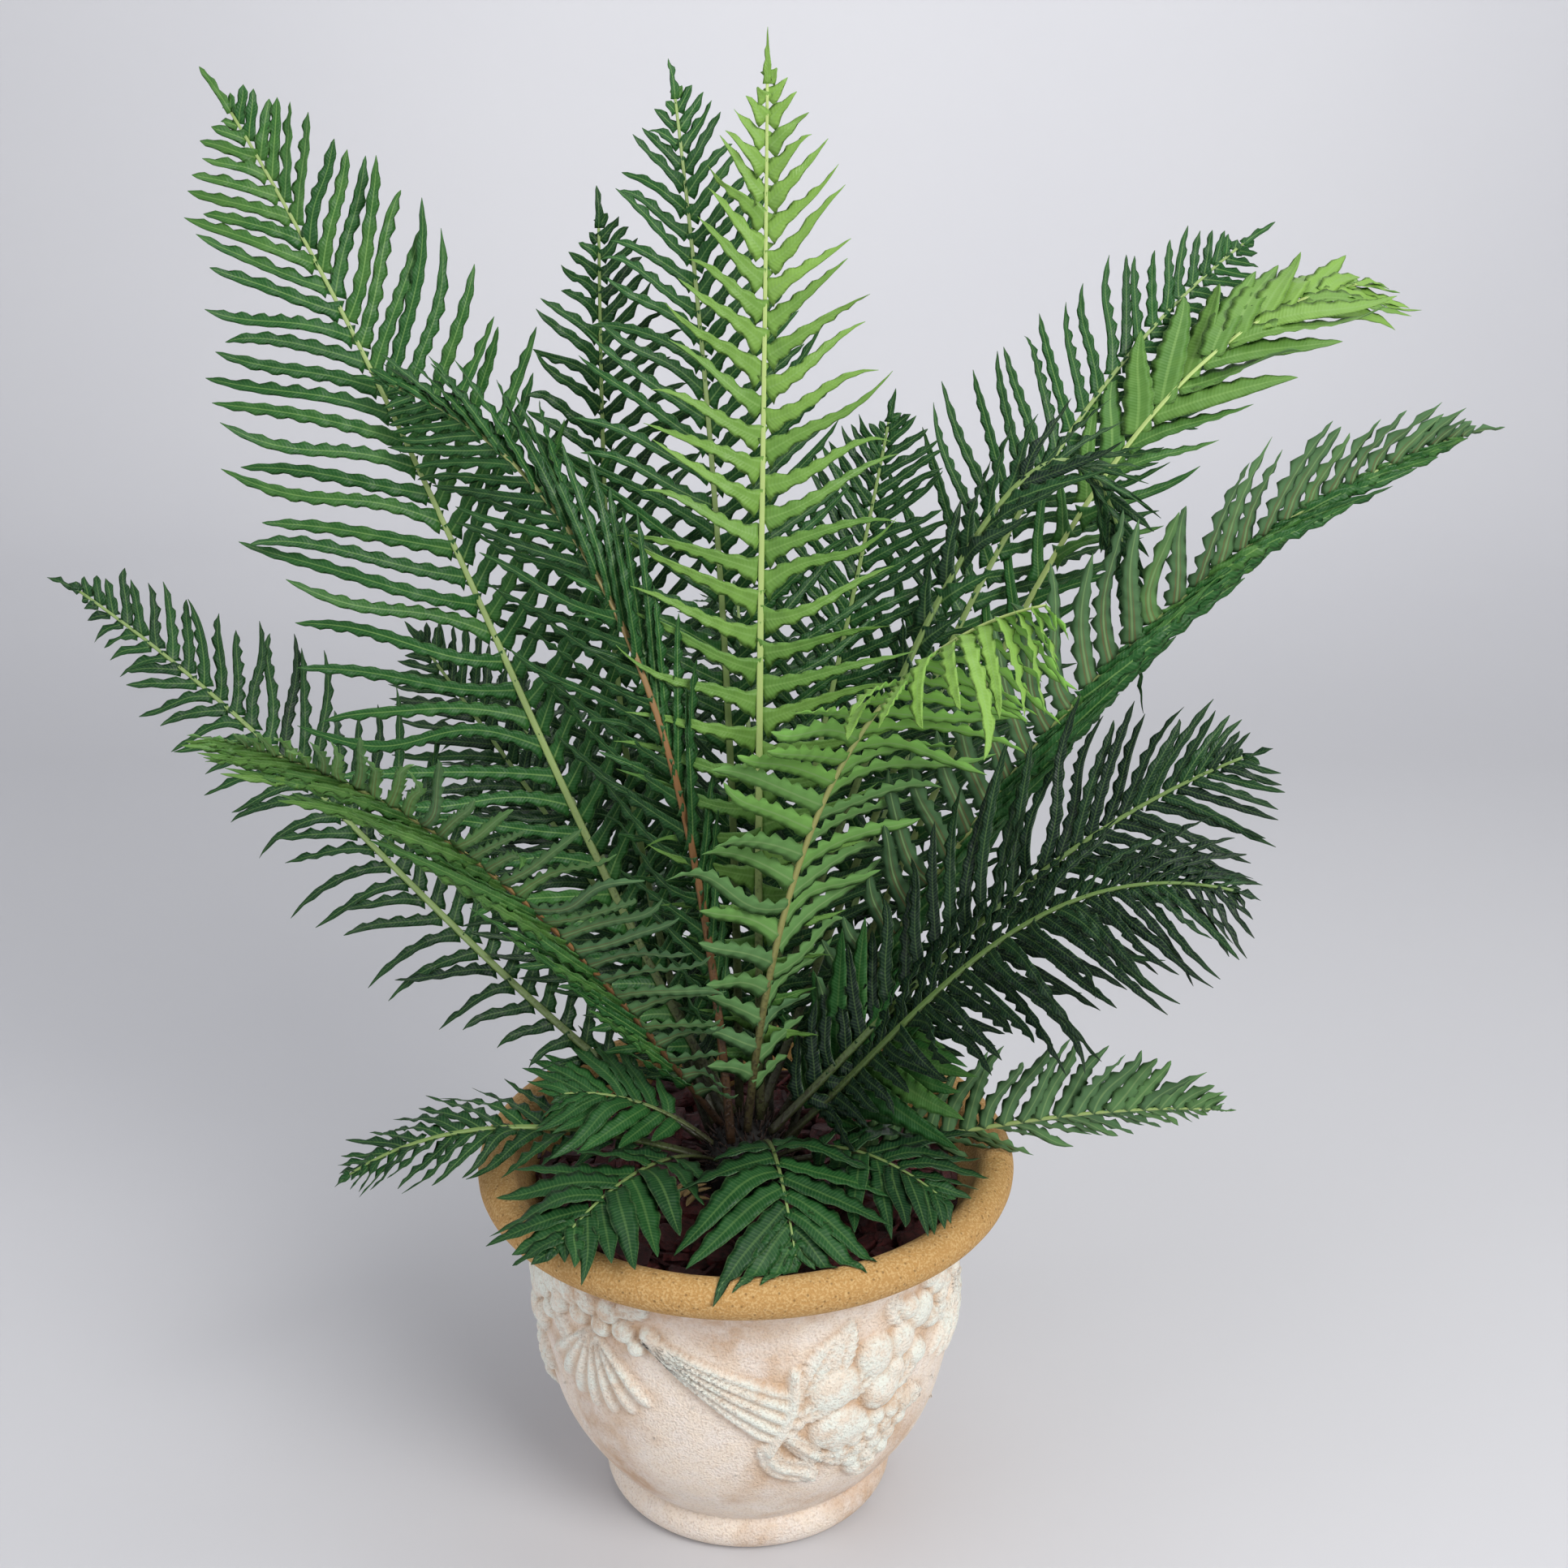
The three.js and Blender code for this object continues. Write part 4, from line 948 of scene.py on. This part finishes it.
def garland(s, z, period):
    """Shell and small fruit, a horn that widens down to its mouth with a ribbon under it, and out of it
    leaves, pears, grapes and a climbing spray to the next shell. Heights are shares of the relief."""
    relief = Relief(s, z, period)
    relief.shell(0, 178, 58, 52, 7, 0.8)
    for x, y, r in ((-29, 182, 9), (25, 184, 8), (-17, 194, 10), (15, 195, 9), (-1, 196, 11),
                    (-10, 182, 8), (9, 182, 8), (0, 209, 6), (34, 176, 6)):
        relief.fruit(x, y, r, r, 0.98)
    relief.leaf(-36, 198, 9, 18, 0.6, 50)
    relief.leaf(33, 203, 8, 15, 0.6, -60)
    relief.cloth([(40, 186), (60, 172), (86, 156), (116, 138)], [4, 8, 14, 22], 0.85, 5)
    relief.fruit(43, 187, 7, 6, 0.9, -30)
    relief.cloth([(128, 166), (126, 142), (114, 112)], [4, 5, 4], 1.0, 1)
    relief.cloth([(112, 112), (118, 98), (134, 90), (140, 84)], [6, 9, 10, 5], 0.66, 2)
    relief.cloth([(124, 120), (136, 108), (144, 100)], [5, 7, 4], 0.72, 2)
    for x, y, wide, tall, tilt in ((142, 168, 9, 24, -30), (158, 176, 9, 22, -12), (140, 138, 8, 22, -75),
                                   (170, 150, 9, 22, -60), (205, 118, 10, 20, -100),
                                   (206, 144, 10, 20, -50), (158, 96, 8, 16, -110)):
        relief.leaf(x, y, wide, tall, 0.68, tilt)
    for x, y, wide, tall, tilt in ((152, 150, 15, 18, -70), (156, 120, 16, 20, -95),
                                   (180, 164, 14, 15, 0), (184, 138, 14, 14, 0)):
        relief.fruit(x, y, wide, tall, 1.0, tilt)
    for row in range(6):
        for k in range(6 - row):
            x = 176 + (k - (5 - row) / 2) * 11.5 + (row % 2) * 1.5
            relief.fruit(x, 118 - 9.0 * row, 6.9, 6.9, 0.82 + 0.05 * (k % 3))
    for x, y, r in ((200, 166, 12), (214, 150, 9), (218, 178, 13), (206, 186, 8), (236, 190, 11),
                    (230, 166, 8), (250, 196, 9), (224, 198, 7), (194, 150, 8), (242, 176, 7)):
        relief.fruit(x, y, r, r, 0.98)
    relief.leaf(196, 188, 8, 16, 0.6, 30)
    relief.leaf(238, 206, 8, 15, 0.58, -50)
    relief.leaf(246, 160, 8, 16, 0.58, -120)
    return relief.height


def disc_with_holes(ring, holes):
    """Faces that fill a ring of points but for round holes, numbered over the ring, then the holes."""
    around = [Vector((float(x), float(y))) for x, y in ring]
    for hole in holes:
        around += [Vector((float(x), float(y))) for x, y in hole]
    edges, first = [], 0
    for loop in (ring, *holes):
        edges += [(first + i, first + (i + 1) % len(loop)) for i in range(len(loop))]
        first += len(loop)
    found = delaunay_2d_cdt(around, edges, [], 1, 1e-4)
    kept = []
    for face in found[2]:
        middle = sum((found[0][i] for i in face), Vector((0, 0))) / len(face)
        if all(math.dist(middle, np.mean(hole, 0)) > DRAIN_R_MM for hole in holes):
            kept.append(tuple(found[3][i][0] for i in face))
    return kept


def build_planter(settings):
    """The planter in one piece: its section turned round the axis, raised where the garland lies, and
    closed by a floor with drain holes. The section is (radius, height)."""
    columns = 480
    bead = round_line(81, 14, 14, -72, 50, 10)
    bell = smooth_line([(89.5, 25), (103, 41), (121, 71), (130, 102), (134, 135), (134, 170),
                        (136, 200), (146, 224)], 150)
    roll = round_line(ROLL_AT_MM, RIM_TOP_MM - ROLL_R_MM, ROLL_R_MM, 215 - 360, 180, 22)
    wall = smooth_line([(140, 222), (123, 200), (120, 170), (120, 135), (116, 102), (107, 72),
                        (88, 42), (70, FLOOR_MM)], 16)
    profile = np.concatenate([[(85, 0)], bead, bell, roll, wall])
    along = unit(np.gradient(profile, axis=0))
    outward = np.stack([along[:, 1], -along[:, 0]], -1)
    azimuth = np.arange(columns) * math.tau / columns
    period = math.tau * RELIEF_R_MM / RELIEF_REPEATS
    start = math.radians(RELIEF_START_DEG)
    s_at = ((azimuth - start) * RELIEF_R_MM) % period
    on_bell = slice(1 + len(bead), 1 + len(bead) + len(bell))
    s, z = np.meshgrid(s_at, profile[on_bell, 1])
    raised = garland(s, z, period)
    fade = smooth(60, 78, z) * (1 - smooth(212, 220, z))
    raised = raised * fade
    soft = raised
    for shift in (1, 2, 3):
        soft = (soft + np.roll(soft, shift, 1) + np.roll(soft, -shift, 1)) / 3
        soft = np.concatenate([soft[:1], (soft[2:] + soft[1:-1] + soft[:-2]) / 3, soft[-1:]])
    groove = np.clip((soft - raised) * 3.0, 0, 1)

    height = np.zeros((len(profile), columns))
    height[on_bell] = raised
    # a cast surface is never quite true
    rng = np.random.RandomState(7)
    for k in range(2, 9):
        turns, rise, phase = rng.randint(1, 9), rng.uniform(-0.06, 0.06), rng.uniform(0, math.tau)
        height[on_bell] += 0.02 * np.sin(turns * azimuth[None, :] + rise * z + phase)
    push = height * settings.relief_height / MM
    r = profile[:, 0:1] + outward[:, 0:1] * push
    up = profile[:, 1:2] + outward[:, 1:2] * push
    vertices = np.stack([r * np.cos(azimuth), r * np.sin(azimuth), up], -1)
    rows = len(profile)
    blade = np.zeros((rows, columns, 3))
    blade[on_bell, :, 0] = raised
    blade[on_bell, :, 1] = groove
    quads, slots, uvs = [], [], []
    first_roll = 1 + len(bead) + len(bell)
    for a in range(rows - 1):
        slot = 0 if a >= first_roll - 3 and a < first_roll + len(roll) + 6 else 1
        for j in range(columns):
            k = (j + 1) % columns
            quads.append((a * columns + j, a * columns + k, (a + 1) * columns + k, (a + 1) * columns + j))
            u0, u1 = j / columns, (j + 1) / columns
            v0, v1 = 0.9 * a / rows, 0.9 * (a + 1) / rows
            uvs += [(u0, v0), (u1, v0), (u1, v1), (u0, v1)]
            slots.append(slot)

    # floor with its drain holes: rings of the same points beneath and above
    steps = 24
    turn = np.arange(steps) * math.tau / steps
    holes = []
    for i in range(DRAINS):
        centre = direction(90 + 360 * i / DRAINS, 0)[:2] * DRAIN_CIRCLE_MM
        holes.append(centre + DRAIN_R_MM * np.stack([np.cos(turn), np.sin(turn)], -1))
    hole_points = np.concatenate(holes)
    base = rows * columns
    extra = []
    for level, row in ((0.0, 0), (FLOOR_MM, rows - 1)):
        ring = vertices[row, :, :2]
        faces = disc_with_holes(ring, holes)
        shift = base + len(extra)
        everywhere = np.concatenate([ring, hole_points])
        extra += [(x, y, level) for x, y in hole_points]
        for face in faces:
            ids = [row * columns + i if i < columns else shift + i - columns for i in face]
            quads.append(tuple(ids[::-1] if level == 0.0 else ids))
            slots.append(1)
            uvs += [(0.05 + 0.04 * (0.5 + everywhere[i][0] / 200) + 0.1 * (level > 0),
                     0.93 + 0.06 * (0.5 + everywhere[i][1] / 200))
                    for i in (face[::-1] if level == 0.0 else face)]
    for h in range(DRAINS):
        for j in range(steps):
            a, b = base + h * steps + j, base + h * steps + (j + 1) % steps
            over = len(hole_points)
            quads.append((a, a + over, b + over, b))
            slots.append(1)
            uvs += [(0.3, 0.94), (0.3, 0.98), (0.31, 0.98), (0.31, 0.94)]
    points = np.concatenate([vertices.reshape(-1, 3), np.array(extra)])
    pad = np.zeros((len(extra), 3))
    body = Body()
    body.add(points, quads, slots, np.concatenate([blade.reshape(-1, 3), pad]),
             np.zeros((len(points), 3)), np.array(uvs))
    piece = body.build("cast_planter", [sand_rim_material(settings), washed_body_material(settings)])
    return place(piece, "planter", "planter_foot", "planter_wall", "planter_rim")


# ---------------------------------------------------------------- mulch, crown, dry leaf


def bark_piece(rng, sizes, middle, turn, tilt, cell, cells):
    """An angular lump of bark: a boxy ball, broken by noise. Returns what Body.add takes."""
    around, rings = 11, 6
    a = np.arange(around) * math.tau / around + rng.uniform(-0.22, 0.22, around)
    b = np.linspace(-math.pi / 2, math.pi / 2, rings + 1)[1:-1]
    square = 0.45
    ca, sa = np.cos(a), np.sin(a)
    ca, sa = np.sign(ca) * np.abs(ca) ** square, np.sign(sa) * np.abs(sa) ** square
    cb, sb = np.cos(b) ** square, np.sign(np.sin(b)) * np.abs(np.sin(b)) ** square
    shape = np.stack([cb[:, None] * ca, cb[:, None] * sa, sb[:, None] * np.ones(around)], -1)
    outline = rng.uniform(0.72, 1.05, around)[None, :, None] * np.array([1, 1, 0])
    shape = shape * (outline + np.array([0, 0, 1])) * rng.uniform(0.9, 1.08, shape.shape)
    poles = np.array([[0, 0, -0.95], [0, 0, 0.95]]) * rng.uniform(0.8, 1.05)
    points = np.concatenate([shape.reshape(-1, 3), poles]) * sizes
    points[:, 2] += 0.22 * points[:, 0] * rng.uniform(-1, 1) + 0.02 * points[:, 0] ** 2 / sizes[0]
    c, n = math.cos(turn), math.sin(turn)
    tx, ty = tilt
    points = points @ np.array([[1, 0, tx], [0, 1, ty], [-tx, -ty, 1]])
    points = points @ np.array([[c, n, 0], [-n, c, 0], [0, 0, 1]]) + middle
    rows = rings - 1
    faces = ring_faces(rows, around)
    low, high = rows * around, rows * around + 1
    faces += [(low, (j + 1) % around, j) for j in range(around)]
    top = (rows - 1) * around
    faces += [(high, top + j, top + (j + 1) % around) for j in range(around)]
    tint = np.tile([rng.uniform(0, 1), 0, 0], (len(points), 1))
    side = math.ceil(math.sqrt(cells))
    row, column = divmod(cell, side)
    uvs = []
    for face in faces:
        for v in face:
            i, j = divmod(v, around) if v < low else (rows - 1 if v == high else 0, 5)
            uvs.append(((column + 0.1 + 0.8 * j / around) / side, (row + 0.1 + 0.8 * i / rows) / side))
    return points, faces, [0] * len(faces), np.zeros_like(points), tint, np.array(uvs)


def build_mulch(settings, material):
    """The bed of bark, laid from below: small pieces, then slabs, then splinters; and the nuggets on
    it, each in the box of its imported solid."""
    rng = np.random.RandomState(21)
    body = Body()
    pieces, splinters = settings.pieces, 110
    slabs = 46
    cells = pieces + splinters
    crown_room = CROWN_R_MM + 5
    wall_r = 137.0  # the planter's inner wall at the top of the bed
    bed_low, bed_rise, bank = 211.5, 11.5, 3.0  # lowest pieces, how much higher the last, rise at the wall
    placed = 0
    while placed < cells:
        is_splinter = placed >= pieces
        if is_splinter:
            sizes = np.array([rng.uniform(9, 20), rng.uniform(1.0, 2.0), rng.uniform(0.7, 1.3)])
        elif placed >= pieces - slabs:
            sizes = np.array([rng.uniform(13, 20), rng.uniform(9, 14), rng.uniform(2.6, 4.2)])
        else:
            sizes = np.array([rng.uniform(6, 15), rng.uniform(4, 9.5), rng.uniform(1.8, 3.8)])
        out = (wall_r - 2) * math.sqrt(rng.uniform(0.07, 1))
        spin = rng.uniform(0, math.tau)
        x, y = out * math.cos(spin), out * math.sin(spin)
        if math.hypot(x, y - CROWN_Y_MM) < crown_room + sizes[0] * 0.8 or out + sizes[1] > wall_r:
            continue
        layer = placed / pieces if not is_splinter else 1.0
        z = bed_low + bed_rise * layer + rng.uniform(-1, 1) + (2.5 if is_splinter else 0)
        steep = 0.16 + 0.22 * layer
        tilt = rng.uniform(-steep, steep, 2)
        # near the wall a piece lies along it, and the bed rises a little
        near_wall = out + sizes[0] > wall_r - 6
        turn = spin + math.pi / 2 + rng.uniform(-0.2, 0.2) if near_wall else rng.uniform(0, math.tau)
        z += bank * smooth(110, 132, out)
        body.add(*bark_piece(rng, sizes, np.array([x, y, z]), turn, tilt, placed, cells))
        placed += 1
    piece = body.build("bark_mulch", [material])
    piece.data.polygons.foreach_set("use_smooth", [False] * len(piece.data.polygons))
    place(piece, "bark", "mulch_bed")
    for i in range(1, CHIPS + 1):
        low, high = cad_box_mm(f"bark_chip_{i}")
        chip = Body()
        size = (high - low) / 2 * np.array([1.0, 0.92, 1.1])
        chip.add(*bark_piece(rng, size, (low + high) / 2, rng.uniform(-0.3, 0.3), (0, 0), 0, 1))
        made = chip.build(f"bark_nugget_{i}", [material])
        made.data.polygons.foreach_set("use_smooth", [False] * len(made.data.polygons))
        place(made, "bark", f"bark_chip_{i}")


def strip(points_at, width_at, normal, count, cell, cells, tint):
    """A thin closed strip along points: what Body.add takes. Used for scales and the dry leaf."""
    t = np.linspace(0, 1, count)
    centre = points_at(t)
    ahead = unit(np.gradient(centre, axis=0))
    flat = unit(normal - np.sum(normal * ahead, 1, keepdims=True) * ahead)
    wide = np.cross(ahead, flat)
    half = width_at(t)[:, None]
    thick = 0.28
    rows = [centre - wide * half, centre + flat * thick, centre + wide * half, centre - flat * thick]
    points = np.stack(rows, 1)
    faces = ring_faces(count, 4)
    last = 4 * (count - 1)
    faces += [(3, 2, 1, 0), (last, last + 1, last + 2, last + 3)]
    blade = np.zeros((count, 4, 3))
    blade[..., 1] = t[:, None]
    side = math.ceil(math.sqrt(cells))
    row, column = divmod(cell, side)
    uvs = [((column + 0.1 + 0.2 * (v % 4)) / side, (row + 0.1 + 0.8 * (v // 4) / count) / side)
           for face in faces for v in face]
    return (points.reshape(-1, 3), faces, [0] * len(faces), blade.reshape(-1, 3),
            np.tile(tint, (4 * count, 1)), np.array(uvs))


def build_crown():
    """The crown: a knob under overlapping papery scales."""
    rng = np.random.RandomState(5)
    body = Body()
    centre = np.array([0, CROWN_Y_MM, CROWN_WAIST_MM])
    rise = CROWN_TOP_MM - CROWN_WAIST_MM
    # the knob itself: a lathe of rings, roughened
    around, rings = 40, 12
    a = np.arange(around) * math.tau / around
    b = np.linspace(-0.9, math.pi / 2, rings)[:-1]
    knob = np.stack([np.cos(b)[:, None] * np.cos(a) * CROWN_R_MM, np.cos(b)[:, None] * np.sin(a)
                     * CROWN_R_MM, np.sin(b)[:, None] * rise * np.ones(around)], -1)
    knob = knob * rng.uniform(0.93, 1.0, knob.shape[:2])[..., None] + centre
    knob = np.concatenate([knob.reshape(-1, 3), [centre + UP * rise, knob[0].mean(0)]])
    rows = rings - 1
    faces = ring_faces(rows, around)
    top = (rows - 1) * around
    faces += [(rows * around, top + j, top + (j + 1) % around) for j in range(around)]
    faces += [(rows * around + 1, (j + 1) % around, j) for j in range(around)]
    uvs = [((v % around) / around, 0.1 * (v // around) / rings) for face in faces for v in face]
    body.add(knob, faces, [0] * len(faces), np.zeros_like(knob), np.zeros_like(knob), np.array(uvs))
    scales = 260
    for i in range(scales):
        height = 0.98 - 1.1 * (i + 0.5) / scales
        out = direction(i * SPIRAL_STEP_DEG + rng.uniform(-4, 4), math.degrees(math.asin(height)))
        root = centre + out * np.array([CROWN_R_MM, CROWN_R_MM, rise]) * 0.94
        lean = unit(out + UP * rng.uniform(0.3, 0.9) + rng.uniform(-0.3, 0.3, 3))
        long = rng.uniform(6, 11)
        width = rng.uniform(0.9, 1.6)
        sweep = np.cross(lean, UP) * rng.uniform(-2, 2)

        def run(t, root=root, lean=lean, long=long, sweep=sweep):
            return root + t[:, None] * long * lean + t[:, None] ** 2 * sweep

        def taper(t, width=width):
            return np.maximum(width * (1 - t**1.5), 0.08)

        points, faces, slots, blade, tint, uv = strip(run, taper, out, 5, i, scales, [0, 0, 0])
        uv = uv * np.array([1, 0.85]) + np.array([0, 0.12])
        body.add(points, faces, slots, blade, tint, uv)
    piece = body.build("scaly_crown", [crown_material()])
    return place(piece, "crown", "crown")


def build_dry_leaf():
    """The dead scrap: a bent spine with a leaflet to each side in turn."""
    rng = np.random.RandomState(11)
    low, high = cad_box_mm("dry_leaf_scrap")
    middle, size = (low + high) / 2, high - low
    body = Body()
    axis = unit(np.array([size[0], -size[1], 0.0]))
    leaflets = 9
    cells = leaflets + 1

    def spine(t):
        bend = np.sin(t * math.pi)[:, None] * np.array([0, 0, 2.5])
        return middle + (t - 0.5)[:, None] * axis * size[0] + bend

    body.add(*strip(spine, lambda t: 1.1 - 0.5 * t, UP, 14, 0, cells, [0, 0, 0]))
    for i in range(leaflets):
        root = spine(np.array([(i + 0.5) / leaflets]))[0]
        side = np.cross(axis, UP) * (1 if i % 2 else -1)
        lean = unit(side + axis * 0.5 + UP * rng.uniform(-0.1, 0.35))
        long = rng.uniform(8, 13)

        def run(t, root=root, lean=lean, long=long):
            return root + t[:, None] * lean * long - np.outer(t**2, UP) * 2.0

        body.add(*strip(run, lambda t: np.maximum(2.4 * np.sin(math.pi * (0.15 + 0.85 * t)) ** 0.7, 0.1),
                        UP, 8, i + 1, cells, [0, 0, 0]))
    piece = body.build("dead_frond_scrap", [dry_leaf_material()])
    return place(piece, "dry_leaf", "dry_leaf_scrap")


# ---------------------------------------------------------------- stage


def add_lamp(name, at, target, size, power, colour):
    """A square lamp that the camera can't see, turned to its target. Lengths are metres."""
    data = bpy.data.lights.new(name, "AREA")
    data.shape = "SQUARE"
    data.size = size
    data.energy = power
    data.color = colour
    lamp = add_object(name, data)
    lamp.location = at
    lamp.visible_camera = False
    lamp.rotation_euler = (Vector(target) - lamp.location).to_track_quat("-Z", "Y").to_euler()


def build_stage(settings):
    """A round floor that curves up into a wall, with its lamps, its air and the camera, in metres."""
    around = 96
    flat_r, sweep_r = 2.6, 1.4
    profile = [(0.0001, 0)] + [(r, 0) for r in (1.0, 2.0, flat_r)]
    profile += [(flat_r + sweep_r * math.sin(a), sweep_r - sweep_r * math.cos(a))
                for a in np.linspace(0.1, math.pi / 2, 16)]
    profile += [(flat_r + sweep_r, 2.2), (flat_r + sweep_r, 3.4)]
    a = np.arange(around) * math.tau / around
    vertices = [(r * math.cos(t), r * math.sin(t), z) for r, z in profile for t in a]
    faces = ring_faces(len(profile), around)
    faces.append(tuple(range(around))[::-1])
    mesh = bpy.data.meshes.new("studio_bowl")
    mesh.from_pydata(vertices, [], [f[::-1] for f in faces])
    mesh.polygons.foreach_set("use_smooth", [True] * len(faces))
    mesh.materials.append(studio_material(settings))
    add_object("studio_bowl", mesh)

    world = bpy.data.worlds.new("studio_air")
    world.use_nodes = True
    background = world.node_tree.nodes["Background"]
    background.inputs[0].default_value = linear("#E8ECF2")
    background.inputs[1].default_value = 0.4
    bpy.context.scene.world = world

    middle = (0, 0, 0.45)
    add_lamp("key_lamp", (1.2, -1.6, 1.8), middle, 1.2, settings.key_power, (1, 0.985, 0.96))
    add_lamp("fill_lamp", (-1.9, -1.1, 1.3), middle, 1.6, settings.key_power * 0.3, (0.98, 0.98, 1))
    add_lamp("top_lamp", (0.5, 0.3, 2.6), middle, 1.6, settings.key_power * 0.42, (1, 1, 1))
    add_lamp("backdrop_lamp", (0.2, 2.2, 2.5), (0.2, 4.0, 1.9), 2.0, settings.key_power * 0.94, (1, 1, 1))

    camera = bpy.data.cameras.new("view_camera")
    camera.sensor_width = 36
    camera.lens = settings.camera_lens
    held = add_object("view_camera", camera)
    held.location = CAMERA_AT
    held.rotation_euler = (math.radians(90 - CAMERA_DOWN_DEG), 0, 0)
    bpy.context.scene.camera = held
    bpy.context.scene.view_settings.view_transform = "Standard"


# ---------------------------------------------------------------- operators and panel


class POTTEDFERN_OT_stage(bpy.types.Operator):
    """Makes the floor, lamps and camera"""

    bl_idname = "potted_fern.stage"
    bl_label = "Stage"

    def execute(self, context):
        build_stage(context.scene.potted_fern_studio)
        return {"FINISHED"}


class POTTEDFERN_OT_planter(bpy.types.Operator):
    """Makes the cast planter with its garland"""

    bl_idname = "potted_fern.planter"
    bl_label = "Planter"

    def execute(self, context):
        build_planter(context.scene.potted_fern_planter)
        return {"FINISHED"}


class POTTEDFERN_OT_mulch(bpy.types.Operator):
    """Makes the potting mix's finish, the bark mulch and its larger nuggets"""

    bl_idname = "potted_fern.mulch"
    bl_label = "Mulch"

    def execute(self, context):
        settings = context.scene.potted_fern_mulch
        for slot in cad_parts["potting_mix"].material_slots:
            slot.material = potting_mix_material()
        build_mulch(settings, bark_material("pine_bark_damp", settings, "#6E2E2E"))
        return {"FINISHED"}


class POTTEDFERN_OT_crown(bpy.types.Operator):
    """Makes the scaly crown that the fronds rise from"""

    bl_idname = "potted_fern.crown"
    bl_label = "Crown"

    def execute(self, context):
        build_crown()
        return {"FINISHED"}


class POTTEDFERN_OT_fronds(bpy.types.Operator):
    """Makes every frond"""

    bl_idname = "potted_fern.fronds"
    bl_label = "Fronds"

    def execute(self, context):
        settings = context.scene.potted_fern_fronds
        materials = [leaf_upper_material(settings), leaf_under_material(), stalk_material()]
        for number, (frond, seat) in enumerate(zip(FRONDS, crown_seats())):
            build_frond(number, frond, seat, settings, materials)
        return {"FINISHED"}


class POTTEDFERN_OT_dry_leaf(bpy.types.Operator):
    """Makes the dead scrap of frond on the mulch"""

    bl_idname = "potted_fern.dry_leaf"
    bl_label = "Dry leaf"

    def execute(self, context):
        build_dry_leaf()
        return {"FINISHED"}


class POTTEDFERN_PT_panel(bpy.types.Panel):
    """Lists the pieces of the potted fern"""

    bl_idname = "POTTEDFERN_PT_panel"
    bl_label = "Potted fern"
    bl_space_type = "VIEW_3D"
    bl_region_type = "UI"
    bl_category = "Potted fern"

    def draw(self, context):
        for operator in OPERATORS:
            self.layout.operator(operator.bl_idname)
        for name, settings in SETTINGS:
            box = self.layout.box()
            for key in settings.__annotations__:
                box.prop(getattr(context.scene, name), key)


OPERATORS = (POTTEDFERN_OT_stage, POTTEDFERN_OT_planter, POTTEDFERN_OT_mulch, POTTEDFERN_OT_crown,
             POTTEDFERN_OT_fronds, POTTEDFERN_OT_dry_leaf)
SETTINGS = (("potted_fern_fronds", FrondSettings), ("potted_fern_planter", PlanterSettings),
            ("potted_fern_mulch", MulchSettings), ("potted_fern_studio", StudioSettings))


def register():
    for name, settings in SETTINGS:
        bpy.utils.register_class(settings)
        setattr(bpy.types.Scene, name, bpy.props.PointerProperty(type=settings))
    for kind in (*OPERATORS, POTTEDFERN_PT_panel):
        bpy.utils.register_class(kind)


def unregister():
    for kind in (POTTEDFERN_PT_panel, *reversed(OPERATORS)):
        bpy.utils.unregister_class(kind)
    for name, settings in reversed(SETTINGS):
        delattr(bpy.types.Scene, name)
        bpy.utils.unregister_class(settings)


def main():
    register()
    bpy.ops.potted_fern.stage()
    bpy.ops.potted_fern.planter()
    bpy.ops.potted_fern.mulch()
    bpy.ops.potted_fern.crown()
    bpy.ops.potted_fern.fronds()
    bpy.ops.potted_fern.dry_leaf()


if __name__ == "__main__":
    main()
